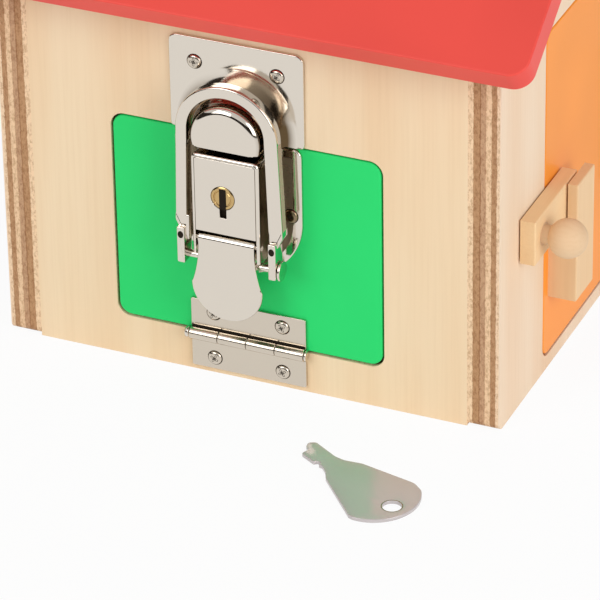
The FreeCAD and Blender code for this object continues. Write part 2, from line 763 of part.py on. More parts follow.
def key():
    """A flat stamped key: notched blade, waist and a broad rounded bow with a hole."""
    outline = [("0.3", "-3.6"), ("0", "-0.4"), ("-2.9", "1.0"), ("-3.1", "2.9"), ("-1.6", "4.3"),
               ("9.0", "4.1"), ("12.6", "4.9"), ("18.0", "8.3"), ("key_bow_start", "14.6"),
               ("key_bow_start", "-14.6"), ("17.6", "-6.8"), ("14.2", "-4.2"), ("10.6", "-3.0"),
               ("7.4", "-3.7")]
    blade = rounded(padded("XY_Plane", outline, "key_thick"), "key_corner",
                    lambda edge: runs(edge, Vector(0, 0, 1)) and edge.Vertexes[0].X < 20)
    disc = rod(("key_bow_centre", "0", "0"), "key_bow_radius", "key_thick")
    beyond = block(("key_bow_start - 0.1", "-key_bow_radius", "0"), "key_bow_radius",
                   "2*key_bow_radius", "key_thick")
    ring_hole = rod(("key_hole_along", "0", f"-{SPARE}"), "key_hole_radius", f"key_thick + 2*{SPARE}")
    nick = rod(("8.4", "-3.4", f"-{SPARE}"), "key_nick_radius", f"key_thick + 2*{SPARE}")
    flat = cut(fuse(blade, common(disc, beyond)), ring_hole, nick)
    node(put(flat, ("key_side", "-house_depth/2 - key_ahead", "0"),
             Rotation(Vector(0, 0, 1), size("key_turn"))), "key")


# The turn latch on the orange door

def turn_latch():
    """A wooden arm that turns on the neck of a ball knob and drops behind the lip of a catch."""
    bar = block(("pivot_side - arm_back", "-arm_gap - arm_thick", "pivot_height - arm_tall/2"),
                "arm_back + arm_reach", "arm_thick", "arm_tall")
    eased = rounded(bar, "arm_edge",
                    lambda edge: on_plane(edge, "y", -size("arm_gap") - size("arm_thick")))
    turning = rod(("pivot_side", "0", "pivot_height"), "neck_radius + running_play",
                  "2*arm_thick", OUTWARDS)
    node(on_wall(cut(eased, turning), "right"), "latch_arm")
    middle = ("pivot_side", "0", "pivot_height")
    knob = fuse(ball(("pivot_side", "-knob_out", "pivot_height"), "knob_radius"),
                rod(middle, "neck_radius", "arm_gap + arm_thick", OUTWARDS),
                rod(middle, "neck_waist", "knob_out", OUTWARDS),
                rod(("pivot_side", "dowel_length", "pivot_height"), "dowel_radius",
                    f"dowel_length + {SPARE}", OUTWARDS))
    node(on_wall(knob, "right"), "latch_knob")
    washer = cut(rod(middle, "washer_radius", "washer_thick", OUTWARDS),
                 rod(middle, "neck_radius", "washer_thick", OUTWARDS))
    node(on_wall(washer, "right"), "latch_washer")
    catch = block(("catch_side", "-catch_thick", "catch_low"), "catch_width", "catch_thick",
                  "catch_high - catch_low")
    worn = rounded(catch, "arm_edge", lambda edge: on_plane(edge, "y", -size("catch_thick")))
    slot = block((f"catch_side - {SPARE}", "-catch_thick + catch_lip", "catch_shoulder"),
                 f"catch_width + 2*{SPARE}", "catch_thick", "catch_high")
    node(on_wall(cut(worn, slot), "right"), "latch_catch")


# The barrel bolt on the left-hand door

def strap(start):
    """A bridge that the bolt slides through."""
    arch = block((start, "-strap_out", "bolt_height - strap_tall/2"), "strap_width", "strap_out",
                 "strap_tall")
    return rounded(arch, "strap_edge", lambda edge: runs(edge, Vector(1, 0, 0))
                   and on_plane(edge, "y", -size("strap_out")))


def barrel_bolt():
    """A plate with two straps, the bolt with its ball grip, and a keeper on the wall."""
    bore = rod(("bolt_back", "-bolt_out", "bolt_height"), "bolt_radius + running_play",
               "side_open_width", AHEAD)
    base = block(("bolt_plate_start", "-plate_thick", "bolt_height - bolt_plate_tall/2"),
                 "bolt_plate_length", "plate_thick", "bolt_plate_tall")
    body = cut(fuse(base, strap("first_strap"), strap("second_strap")), bore, holes(BOLT_SCREWS))
    node(on_wall(body, "left"), "bolt_body")
    shaft = fuse(rod(("bolt_back", "-bolt_out", "bolt_height"), "bolt_radius",
                     "bolt_tip - bolt_back", AHEAD),
                 rod(("bolt_knob_side", "-bolt_out", "bolt_height"), "bolt_stem_radius",
                     "bolt_knob_out - bolt_out", OUTWARDS),
                 ball(("bolt_knob_side", "-bolt_knob_out", "bolt_height"), "bolt_knob_radius"))
    node(on_wall(shaft, "left"), "bolt_rod")
    keeper_base = block(("keeper_plate_start", "-plate_thick", "bolt_height - bolt_plate_tall/2"),
                        "keeper_plate_length", "plate_thick", "bolt_plate_tall")
    keeper_slot = block((f"keeper_strap - {SPARE}", "-keeper_slot_out",
                         "bolt_height - keeper_slot_tall/2"), f"strap_width + 2*{SPARE}",
                        "keeper_slot_out - plate_thick", "keeper_slot_tall")
    bridge = cut(strap("keeper_strap"), keeper_slot)
    keeper = cut(fuse(keeper_base, bridge), holes(KEEPER_SCREWS))
    node(on_wall(keeper, "left"), "bolt_keeper")


# The turn button above the back door

def turn_button():
    """A wooden button on one screw that turns down over the door's top edge."""
    front = "-arm_gap - button_thick"
    bar = middle_block(("0", front, "button_height - button_tall/2"), "button_length",
                       "button_thick", "button_tall")
    shaped = rounded(bar, "button_corner", crosswise)
    turning = rod(("0", "0", "button_height"), "button_pin_radius + running_play",
                  "2*button_thick", OUTWARDS)
    node(on_wall(cut(shaped, turning), "back"), "turn_button")
    pin = fuse(rod(("0", "screw_length", "button_height"), "button_pin_radius",
                   f"screw_length - ({front}) + screw_head_high", OUTWARDS),
               cone(("0", f"{front} - stop_play", "button_height"), "button_head_radius",
                    "button_head_radius*0.6", "screw_head_high", OUTWARDS))
    node(on_wall(pin, "back"), "turn_button_screw")


# Build, check and write

def write_parts():
    """Stop at any feature or shape that failed, then write each sub-part to its own file."""
    doc.recompute()
    for thing in doc.Objects:
        if "Invalid" in thing.State or "Error" in thing.State:
            raise RuntimeError(f"{thing.Name} ({thing.Label}) did not build: {thing.State}")
    os.makedirs("parts", exist_ok=True)
    for thing in NODES:
        shape = thing.Shape
        if shape.isNull() or not shape.isValid() or shape.Volume <= 0:
            raise RuntimeError(f"{thing.Label} has no sound solid")
    for thing in NODES:
        thing.Shape.exportStep(f"parts/{thing.Label}.step")
        print(f"{thing.Label}: {len(thing.Shape.Solids)} solids, {thing.Shape.Volume:.1f} mm3")
    print(len(NODES), "sub-parts")


carcass()
doors()
screw_sets()
strike()
latch_base()
latch_case()
lock()
lever()
bail()
key()
turn_latch()
barrel_bolt()
turn_button()
write_parts()
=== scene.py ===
# %% [markdown]
# # A wooden house of locks
#
# The object is a child's lock box: a house of thick birch plywood whose painted doors are each held
# by a different latch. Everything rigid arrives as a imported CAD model, in metres, and is the frame
# that the looks are built on. This lesson gives it wood, paint and plated steel, and remakes the
# curved metal pieces as smooth surfaces worked out with numpy.

import math

import bmesh
import bpy
import numpy as np
from mathutils import Matrix, Vector


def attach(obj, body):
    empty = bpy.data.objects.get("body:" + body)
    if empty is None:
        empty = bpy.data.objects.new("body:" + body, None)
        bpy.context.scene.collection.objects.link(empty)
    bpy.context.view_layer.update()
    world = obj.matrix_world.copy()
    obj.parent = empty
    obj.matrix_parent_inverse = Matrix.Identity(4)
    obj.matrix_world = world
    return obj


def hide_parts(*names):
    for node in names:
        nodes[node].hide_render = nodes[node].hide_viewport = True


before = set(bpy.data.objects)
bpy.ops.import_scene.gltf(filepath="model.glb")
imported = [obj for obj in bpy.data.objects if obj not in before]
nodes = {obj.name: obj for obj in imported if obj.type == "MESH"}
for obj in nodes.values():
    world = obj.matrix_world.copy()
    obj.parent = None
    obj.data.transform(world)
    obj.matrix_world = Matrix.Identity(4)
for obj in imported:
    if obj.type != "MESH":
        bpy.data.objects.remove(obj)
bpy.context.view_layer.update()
MM = 0.001

# %% [markdown]
# ## The camera
#
# A camera was fitted to the picture from the corners of the green door and of the house: it stands
# 24 degrees to the right and 30 degrees up, far away behind a long lens, and leans by one degree.
# Its three axes come from those angles, so nothing is turned by eye.

# %% Place the camera


def camera_axes(azimuth, elevation, roll):
    """Right, up and back of a camera.

    Back is (sin a cos e, -cos a cos e, sin e). Right is level, up is square to both, and the roll
    turns right towards up.
    """
    a, e, r = np.radians([azimuth, elevation, roll])
    back = np.array([np.sin(a) * np.cos(e), -np.cos(a) * np.cos(e), np.sin(e)])
    level = np.array([np.cos(a), np.sin(a), 0.0])
    upright = np.cross(back, level)
    right = level * np.cos(r) + upright * np.sin(r)
    up = -level * np.sin(r) + upright * np.cos(r)
    return right, up, back


AZIMUTH, ELEVATION, ROLL = 23.822, 30.478, -0.994
CAMERA_PLACE = (0.5647, -1.3117, 0.8309)
FRAME_PIXELS, FOCAL_PIXELS, SENSOR_MM = 600, 4710.9, 36.0
right, up, back = camera_axes(AZIMUTH, ELEVATION, ROLL)
camera_data = bpy.data.cameras.new("camera")
camera_data.sensor_width = SENSOR_MM
camera_data.lens = FOCAL_PIXELS / FRAME_PIXELS * SENSOR_MM
camera_data.clip_end = 50.0
camera = bpy.data.objects.new("camera", camera_data)
axes = Matrix(np.column_stack([right, up, back]).tolist())
camera.matrix_world = Matrix.Translation(CAMERA_PLACE) @ axes.to_4x4()
bpy.context.scene.collection.objects.link(camera)
bpy.context.scene.camera = camera
bpy.context.scene.view_settings.view_transform = "Standard"
print("camera looks along", (-back).round(3), "with a lens of", round(camera_data.lens, 1), "mm")

# %% [markdown]
# ## The floor
#
# The picture was taken on white paper under large soft lamps. The floor is one pale sheet: a camera
# or mirror ray finds it mostly white of its own, with a little of its lit colour left so that it
# keeps the shadow. Light Path tells the two kinds of ray apart. A few short helpers come first,
# because every material below is wired from the same nodes.

# %% Wire shader nodes


def node(tree, kind, **settings):
    """A shader node with some of its properties set."""
    made = tree.nodes.new(kind)
    for key, value in settings.items():
        setattr(made, key, value)
    return made


def feed(tree, socket, value):
    """Link an input to another node's output, or set it to a plain value."""
    if isinstance(value, bpy.types.NodeSocket):
        tree.links.new(value, socket)
    else:
        socket.default_value = value


def maths(tree, operation, *values):
    """The output of a Math node that is fed with numbers or outputs."""
    made = node(tree, "ShaderNodeMath", operation=operation)
    for socket, value in zip(made.inputs, values):
        feed(tree, socket, value)
    return made.outputs[0]


def blended(tree, share, first, second):
    """Two shaders, the second one by a share."""
    made = node(tree, "ShaderNodeMixShader")
    for socket, value in zip(made.inputs, (share, first.outputs[0], second.outputs[0])):
        feed(tree, socket, value)
    return made.outputs[0]


def principled(name, colour, roughness, metallic=0.0):
    """A new material with one Principled shader, its plain numbers on the shader's own sockets."""
    material = bpy.data.materials.new(name)
    material.use_nodes = True
    shader = material.node_tree.nodes["Principled BSDF"]
    shader.inputs["Base Color"].default_value = (*colour, 1.0)
    shader.inputs["Roughness"].default_value = roughness
    shader.inputs["Metallic"].default_value = metallic
    return material, shader


print("helpers for shader nodes")

# %% Lay the floor
FLOOR_HALF = 6.0
OWN_WHITE_SHARE = 0.92


def stage_mesh(name, points, faces):
    """A mesh of the stage, linked to the scene."""
    mesh = bpy.data.meshes.new(name)
    mesh.from_pydata(points, [], faces)
    thing = bpy.data.objects.new(name, mesh)
    bpy.context.scene.collection.objects.link(thing)
    return thing


def looking(tree):
    """One where a camera, glossy or transmission ray arrives, nothing for light's own rays."""
    ray = node(tree, "ShaderNodeLightPath").outputs
    seen = maths(tree, "MAXIMUM", ray["Is Camera Ray"], ray["Is Glossy Ray"])
    return maths(tree, "MAXIMUM", seen, ray["Is Transmission Ray"])


floor = stage_mesh("floor", [(x * FLOOR_HALF, y * FLOOR_HALF, 0)
                             for x, y in ((-1, -1), (1, -1), (1, 1), (-1, 1))], [(0, 1, 2, 3)])
paper, paper_shader = principled("paper", (0.93, 0.93, 0.93), 0.9)
tree = paper.node_tree
own_white = node(tree, "ShaderNodeEmission")
own_white.inputs["Strength"].default_value = 1.0
share = maths(tree, "MULTIPLY", looking(tree), OWN_WHITE_SHARE)
tree.links.new(blended(tree, share, paper_shader, own_white),
               tree.nodes["Material Output"].inputs["Surface"])
floor.data.materials.append(paper)
print("a floor of", 2 * FLOOR_HALF, "m a side")

# %% [markdown]
# ## The dark end of the studio
#
# Polished metal draws its edges with what is dark around it, so a low dark band stands round the
# set like the unlit end of a studio. Only reflections see it: the camera, soft light and shadows
# pass through it.

# %% Stand the dark band


def band(name, radius, low, high, count=64):
    """An upright strip round the set: (r cos t, r sin t, z) for t all round and z low or high."""
    turn = np.linspace(0, 2 * np.pi, count + 1)[:-1]
    ring = np.column_stack([radius * np.cos(turn), radius * np.sin(turn)])
    points = np.concatenate([np.column_stack([ring, np.full(count, z)]) for z in (low, high)])
    step = np.arange(count)
    after = (step + 1) % count
    faces = np.column_stack([step, after, after + count, step + count])
    return stage_mesh(name, points.tolist(), faces.tolist())


dark_end = band("dark_end", radius=2.6, low=0.0, high=1.05)
unlit, _ = principled("unlit", (0.020, 0.014, 0.009), 1.0)
dark_end.data.materials.append(unlit)
for kind in ("visible_camera", "visible_diffuse", "visible_shadow", "visible_transmission"):
    setattr(dark_end, kind, False)
print("a dark band of", len(dark_end.data.polygons), "faces")

# %% [markdown]
# ## Light
#
# Two large square lamps stand left and right of the camera, and their size keeps the shadows soft.
# The world adds an even grey-white light, and is plain white for the camera and for reflections.

# %% Light it
MIDDLE_OF_SET = (0, 0, 0.08)


def soft_lamp(name, place, target, width, power):
    """A square area lamp that faces a target."""
    data = bpy.data.lights.new(name, "AREA")
    data.shape = "SQUARE"
    data.size = width
    data.energy = power
    lamp = bpy.data.objects.new(name, data)
    facing = (Vector(target) - Vector(place)).to_track_quat("-Z", "Y").to_matrix().to_4x4()
    lamp.matrix_world = Matrix.Translation(place) @ facing
    bpy.context.scene.collection.objects.link(lamp)


world = bpy.data.worlds.new("studio")
world.use_nodes = True
bpy.context.scene.world = world
tree = world.node_tree
tree.nodes.clear()
lighting = node(tree, "ShaderNodeBackground")
lighting.inputs["Color"].default_value = (1.0, 0.995, 0.985, 1.0)
lighting.inputs["Strength"].default_value = 0.5
backdrop = node(tree, "ShaderNodeBackground")
backdrop.inputs["Strength"].default_value = 1.0
output = node(tree, "ShaderNodeOutputWorld")
tree.links.new(blended(tree, looking(tree), lighting, backdrop), output.inputs[0])
soft_lamp("key_lamp", (-0.9, -1.9, 1.3), MIDDLE_OF_SET, width=1.3, power=16.5)
soft_lamp("fill_lamp", (1.9, -0.9, 0.9), MIDDLE_OF_SET, width=1.3, power=22)
print("one even world and two soft lamps")

# %% [markdown]
# ## Wood
#
# Birch is pale and nearly even: its grain is a faint streak many times longer than it is wide, with
# a slow change of warmth across the board. Noise on Object coordinates, stretched along the grain,
# gives both. A plywood edge shows the layers, so depth below the outer face runs through a colour
# ramp: pale where a ply's fibres lie along the cut, brown where they end in it. A little noise added
# to the depth makes the glue lines ragged, and finer noise darkens single fibres.

# %% Make birch


def ramp(tree, source, stops, interpolation="LINEAR"):
    """A colour ramp through (place, colour) stops, fed by a number."""
    made = node(tree, "ShaderNodeValToRGB")
    made.color_ramp.interpolation = interpolation
    elements = made.color_ramp.elements
    while len(elements) < len(stops):
        elements.new(0.5)
    for element, (place, colour) in zip(elements, stops):
        element.position = place
        element.color = (*colour, 1.0)
    tree.links.new(source, made.inputs["Fac"])
    return made.outputs["Color"]


def on_piece(tree):
    """Object coordinates, which stay with the piece from every side."""
    return node(tree, "ShaderNodeTexCoord").outputs["Object"]


def stretched_noise(tree, coordinates, scale, detail=3.0, roughness=0.55):
    """Noise on scaled coordinates: a small scale along one axis draws long streaks along it."""
    mapping = node(tree, "ShaderNodeMapping")
    mapping.inputs["Scale"].default_value = scale
    tree.links.new(coordinates, mapping.inputs["Vector"])
    noise = node(tree, "ShaderNodeTexNoise")
    noise.inputs["Scale"].default_value = 1.0
    noise.inputs["Detail"].default_value = detail
    noise.inputs["Roughness"].default_value = roughness
    tree.links.new(mapping.outputs["Vector"], noise.inputs["Vector"])
    return noise.outputs["Fac"]


def mixed(tree, first, second, factor, blend_type="MIX"):
    """Two colours mixed by a number or a socket."""
    made = node(tree, "ShaderNodeMix", data_type="RGBA", blend_type=blend_type)
    for place, value in ((0, factor), (6, first), (7, second)):
        feed(tree, made.inputs[place], (*value, 1.0) if isinstance(value, tuple) else value)
    return made.outputs[2]


def bumped(tree, shader, height, strength, distance):
    """Relief from a number, on the shader's normal."""
    bump = node(tree, "ShaderNodeBump")
    bump.inputs["Strength"].default_value = strength
    bump.inputs["Distance"].default_value = distance
    tree.links.new(height, bump.inputs["Height"])
    tree.links.new(bump.outputs["Normal"], shader.inputs["Normal"])


BOARD_MM = 12.0
FACE_DEPTH = 0.0004
BIRCH_PALE = (0.90, 0.715, 0.485)
BIRCH_WARM = (0.86, 0.63, 0.395)
RAGGED = 0.035
PLY_LAYERS = (
    (0.0, (0.84, 0.62, 0.42)), (1.45, (0.47, 0.265, 0.135)), (3.3, (0.80, 0.56, 0.35)),
    (5.2, (0.53, 0.32, 0.185)), (7.0, (0.36, 0.18, 0.08)), (7.4, (0.48, 0.27, 0.135)),
    (9.6, (0.85, 0.62, 0.40)),
)


def birch(name, grain, layers=None, outer=None, tint=(1.0, 1.0, 1.0)):
    """Bare birch with its grain along an axis, and ply layers across another from an outer face."""
    warm, pale = (tuple(a * b for a, b in zip(tone, tint)) for tone in (BIRCH_WARM, BIRCH_PALE))
    material, shader = principled(name, BIRCH_PALE, 0.6)
    shader.inputs["Specular IOR Level"].default_value = 0.25
    tree = material.node_tree
    coordinates = on_piece(tree)
    fine = tuple(22.0 if axis == grain else 900.0 for axis in "xyz")
    broad = tuple(4.0 if axis == grain else 38.0 for axis in "xyz")
    streak = stretched_noise(tree, coordinates, fine)
    figure = stretched_noise(tree, coordinates, broad, 2.0)
    tone = ramp(tree, figure, [(0.36, warm), (0.62, pale)])
    colour = mixed(tree, tone, ramp(tree, streak, [(0.30, (0.86, 0.80, 0.72)), (0.56, (1, 1, 1))]),
                   0.2, "MULTIPLY")
    if layers:
        split = node(tree, "ShaderNodeSeparateXYZ")
        tree.links.new(coordinates, split.inputs[0])
        reach = maths(tree, "ABSOLUTE", split.outputs["XYZ".index(layers)])
        board = BOARD_MM * MM
        depth = maths(tree, "MULTIPLY_ADD", reach, -1.0 / board, outer / board)
        ragged = stretched_noise(tree, coordinates, (300.0, 300.0, 420.0), 4.0, 0.7)
        wandering = maths(tree, "MULTIPLY_ADD", ragged, 2 * RAGGED, depth)
        plies = ramp(tree, maths(tree, "SUBTRACT", wandering, RAGGED),
                     [(place / BOARD_MM, tone) for place, tone in PLY_LAYERS], "CONSTANT")
        fibres = stretched_noise(tree, coordinates, (1300.0, 1300.0, 700.0), 3.0, 0.7)
        worn = ramp(tree, fibres, [(0.34, (0.62, 0.50, 0.40)), (0.56, (1.08, 1.08, 1.08))])
        plies = mixed(tree, plies, worn, 0.75, "MULTIPLY")
        on_face = maths(tree, "COMPARE", reach, outer, FACE_DEPTH)
        colour = mixed(tree, plies, colour, on_face)
    tree.links.new(colour, shader.inputs["Base Color"])
    bumped(tree, shader, streak, 0.12, 0.0002)
    return material


def dress(material, *names):
    """Give CAD nodes a material in place of the plain one they came with."""
    for name in names:
        nodes[name].data.materials.clear()
        nodes[name].data.materials.append(material)


dress(birch("birch_side_walls", "z", "X", 0.09, (1.0, 1.02, 1.14)), "wall_left", "wall_right")
dress(birch("birch_end_walls", "z", "Y", 0.075), "wall_front", "wall_back")
dress(birch("birch_floor", "x"), "floor_board")
dress(birch("birch_strips", "z"), "door_stop_left", "door_stop_right")
dress(birch("birch_lintels", "x"), "door_stop_front", "door_stop_back", "turn_button")
print("birch on walls, floor, strips and lintels")

# %% [markdown]
# ## Paint
#
# Each door and the roof is one bright satin colour, sprayed on. Sprayed paint is almost flat, with a
# very faint orange-peel relief and a slow drift in tone, so both come from noise.

# %% Mix the paints


def paint(name, colour):
    """Satin paint with a faint relief and a slow drift in tone."""
    material, shader = principled(name, colour, roughness=0.4)
    shader.inputs["Specular IOR Level"].default_value = 0.22
    tree = material.node_tree
    coordinates = on_piece(tree)
    drift = stretched_noise(tree, coordinates, (14.0, 14.0, 14.0), 2.0)
    darker = tuple(0.93 * value for value in colour)
    tree.links.new(ramp(tree, drift, [(0.35, darker), (0.6, colour)]), shader.inputs["Base Color"])
    peel = stretched_noise(tree, coordinates, (420.0, 420.0, 420.0), 2.0)
    bumped(tree, shader, peel, 0.05, 0.0002)
    return material


dress(paint("green_paint", (0.0195, 0.725, 0.17)), "door_front")
dress(paint("orange_paint", (1.0, 0.34, 0.042)), "door_right")
dress(paint("blue_paint", (0.05, 0.30, 0.72)), "door_left")
dress(paint("yellow_paint", (0.93, 0.66, 0.06)), "door_back")
dress(paint("red_paint", (0.86, 0.085, 0.065)), "roof_front", "roof_back")
print("five paints")

# %% [markdown]
# ## Plated steel and brass
#
# The latch, the hinges and the key are pressed steel with a bright, slightly warm nickel plating.
# It is close to a mirror, softened by fine polishing haze. Faces deep between the latch's parts
# look brown with shade and with the dark parts they mirror, so painted shade and painted reflection
# give them darker and browner copies of the plating. The key is duller than the rest and keeps a
# share of plain grey. Holes get a near black that reflects almost nothing, painted shade for the dark
# inside them, and the lock cylinder is turned brass.

# %% Make the metals


def plated(name, colour, low, high, relief=0.03, metallic=1.0):
    """Polished metal whose roughness drifts between two values.

    Less than fully metallic gives the milky haze of a surface that is brushed all over.
    """
    material, shader = principled(name, colour, low, metallic)
    tree = material.node_tree
    coordinates = on_piece(tree)
    haze = stretched_noise(tree, coordinates, (90.0, 90.0, 90.0), 4.0)
    scaled = node(tree, "ShaderNodeMapRange")
    scaled.inputs["To Min"].default_value = low
    scaled.inputs["To Max"].default_value = high
    tree.links.new(haze, scaled.inputs["Value"])
    tree.links.new(scaled.outputs["Result"], shader.inputs["Roughness"])
    bumped(tree, shader, stretched_noise(tree, coordinates, (60.0, 60.0, 60.0), 2.0), relief, 0.0004)
    return material


NICKEL_TONE = (0.71, 0.65, 0.57)
nickel = plated("nickel_plating", NICKEL_TONE, 0.06, 0.16)
satin_nickel = plated("satin_nickel", (0.63, 0.56, 0.47), 0.12, 0.22)
key_steel = plated("key_steel", (0.58, 0.535, 0.535), 0.17, 0.26, relief=0.0, metallic=0.24)
# Painted shade and painted reflection: darker copies of the plating for faces in shade, a dull brown for
# the legs' sides that mirror the base plate, and a brown for the base plate that mirrors the bail's
# shaded back.
painted_shade_nickel = plated("painted_shade_nickel", (0.25, 0.19, 0.115), 0.16, 0.3)
painted_reflection_nickel = plated("painted_reflection_nickel", (0.40, 0.30, 0.22), 0.5, 0.6, metallic=0.0)
painted_shade_base_nickel = plated("painted_shade_base_nickel", (0.23, 0.175, 0.11), 0.2, 0.35, metallic=0.4)
brass = plated("turned_brass", (0.57, 0.39, 0.17), 0.14, 0.28)
# Painted shade: a near black for holes, slots, the hump's mouth and gaps, which stands for the shade
# inside them.
painted_shade_black, painted_shade_black_shader = principled("painted_shade_dark", (0.020, 0.014, 0.009), 0.9)
painted_shade_black_shader.inputs["Specular IOR Level"].default_value = 0.1
dress(nickel, "lever_pin", "latch_washer", "bolt_body", "bolt_rod", "bolt_keeper", "turn_button_screw")
dress(brass, "lock_cam")
dress(birch("birch_arm", "y", tint=(1.02, 0.92, 0.78)), "latch_arm")
dress(birch("birch_knob", "x", tint=(0.9, 0.84, 0.8)), "latch_knob")
dress(birch("birch_catch", "z", tint=(1.0, 0.95, 0.88)), "latch_catch")
print("platings, a brass and a dark for hollows")

# %% [markdown]
# ## Surfaces from numpy
#
# The curved metal could be left as the CAD's flat facets, but a mirror finish shows every facet. Each
# curved piece is therefore worked out again as a smooth surface: an outline walked by one parameter
# and a profile walked by another give a grid of points, and the grid becomes the mesh. Pieces are
# drawn in millimetres as if on the front wall: x across, d out from the wall, z up.

# %% Build a mesh from a grid
HALF_WIDTH, HALF_DEPTH = 90.0, 75.0
LATCH_X = -2.3
SMOOTH_BELOW = 32.0


def on_front(across, out, up):
    """Points on the green side: across, out from the wall and up, in mm, become frame metres."""
    return np.stack(np.broadcast_arrays(across, -HALF_DEPTH - np.asarray(out), up), -1) * MM


def grid_faces(rows, columns, closed_rows=False, closed_columns=False):
    """Quads between neighbours (i, j), (i+1, j), (i+1, j+1), (i, j+1) of a grid of points."""
    i = np.arange(rows if closed_rows else rows - 1)
    j = np.arange(columns if closed_columns else columns - 1)
    i, j = np.meshgrid(i, j, indexing="ij")
    i2, j2 = (i + 1) % rows, (j + 1) % columns
    quads = np.stack([i * columns + j, i2 * columns + j, i2 * columns + j2, i * columns + j2], -1)
    return quads.reshape(-1, 4).tolist()


def piece(name, material, body, parts, replaces=()):
    """One object from (points, faces) parts, smooth below an angle, riding on a CAD body."""
    vertices, faces, start = [], [], 0
    for points, polygons in parts:
        points = np.asarray(points, float).reshape(-1, 3)
        vertices.append(points)
        faces += [[int(k) + start for k in polygon] for polygon in polygons]
        start += len(points)
    mesh = bpy.data.meshes.new(name)
    mesh.from_pydata(np.concatenate(vertices).tolist(), [], faces)
    surface = bmesh.new()
    surface.from_mesh(mesh)
    bmesh.ops.remove_doubles(surface, verts=surface.verts, dist=2e-6)
    bmesh.ops.dissolve_degenerate(surface, edges=surface.edges, dist=1e-6)
    bmesh.ops.recalc_face_normals(surface, faces=surface.faces)
    surface.to_mesh(mesh)
    surface.free()
    mesh.shade_smooth()
    mesh.set_sharp_from_angle(angle=math.radians(SMOOTH_BELOW))
    mesh.materials.append(material)
    made = bpy.data.objects.new(name, mesh)
    bpy.context.scene.collection.objects.link(made)
    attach(made, body)
    if replaces:
        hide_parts(*replaces)
    print(name, len(mesh.polygons), "faces")


print("a grid of 3 by 4 points has", len(grid_faces(3, 4)), "faces")


# %% [markdown]
# A stamped piece is an outline given thickness, with its rim rounded. Walking the outline by one
# parameter and the rim's quarter circle by the other gives its side, and one flat face closes each
# end. The rim draws the outline in along its own normal.

# %% Stamp an outline


def inset(outline, distance):
    """A closed outline drawn in: each point moves by the distance along the inward normal.

    The normal is the tangent turned a quarter, and the tangent runs from the point before to the
    point after, each scaled to length one first so that corners are shared evenly.
    """
    def unit(v):
        return v / np.maximum(np.linalg.norm(v, axis=-1, keepdims=True), 1e-9)
    ahead = unit(np.roll(outline, -1, 0) - outline)
    behind = unit(outline - np.roll(outline, 1, 0))
    tangent = unit(ahead + behind)
    x, y = outline[:, 0], outline[:, 1]
    turning = np.sign(np.sum(x * np.roll(y, -1) - y * np.roll(x, -1)))
    normal = np.stack([-tangent[:, 1], tangent[:, 0]], -1) * turning
    sharing = np.maximum((tangent * ahead).sum(-1, keepdims=True), 0.5)
    return outline + normal * distance / sharing


def ring_at(outline, distance, out):
    """Rows (across, out, up) of an outline drawn in by a distance."""
    return np.insert(inset(outline, distance), 1, out, axis=1)


def rim(radius, steps=5):
    """(inset, height below the face) round a quarter circle: r (1 - cos a), r (1 - sin a)."""
    turn = np.linspace(0, np.pi / 2, steps)
    return np.stack([radius * (1 - np.cos(turn)), radius * (1 - np.sin(turn))], -1)


def stamped(outline, back, front, radius, back_radius=0.0, place=on_front):
    """The rings and faces of an outline from out=back to out=front with round rims."""
    high = [(d, front - below) for d, below in rim(radius)]
    low = [(0.0, back)]
    if back_radius:
        low = [(d, back + below) for d, below in rim(back_radius)][::-1]
    rings = np.stack([ring_at(outline, d, out) for d, out in low + high])
    count = len(outline)
    faces = grid_faces(len(rings), count, closed_columns=True)
    faces.append(list(range(count)))
    faces.append([(len(rings) - 1) * count + k for k in range(count)])
    return place(*np.moveaxis(rings, -1, 0)), faces


print("a rim of 0.5 mm draws in and down by", rim(0.5, 3).round(2).tolist())


# %% [markdown]
# The case's front and the key are flat pieces with one hole. Their walls are rings of points, as
# above, and the two faces are filled with triangles between the outer and the inner rim.

# %% Pierce a flat piece


def pierced(outline, hole, back, front, edge, place):
    """A flat piece with one hole: rounded walls, and two faces filled between the rims."""
    parts, rims, drop = [], [], rim(edge, 4)
    for loop, way in ((outline, 1), (hole, -1)):
        levels = ([(d * way, back + below) for d, below in drop][::-1]
                  + [(d * way, front - below) for d, below in drop])
        rings = np.stack([place(*ring_at(loop, d, out).T) for d, out in levels])
        parts.append((rings, grid_faces(len(rings), len(loop), closed_columns=True)))
        rims.append(rings)
    for level in (0, -1):
        sheet = bmesh.new()
        for rings in rims:
            corners = [sheet.verts.new(point) for point in rings[level].tolist()]
            for first, second in zip(corners, corners[1:] + corners[:1]):
                sheet.edges.new((first, second))
        bmesh.ops.triangle_fill(sheet, use_beauty=True, edges=sheet.edges[:])
        sheet.verts.index_update()
        parts.append((np.array([vert.co[:] for vert in sheet.verts]),
                      [[vert.index for vert in face.verts] for face in sheet.faces]))
        sheet.free()
    return parts


print("one hole goes through the case's front, and one through the key")


# %% [markdown]
# An outline is drawn as a few sharp corners, and then each corner is rounded by its own radius.

# %% Ease the corners of an outline


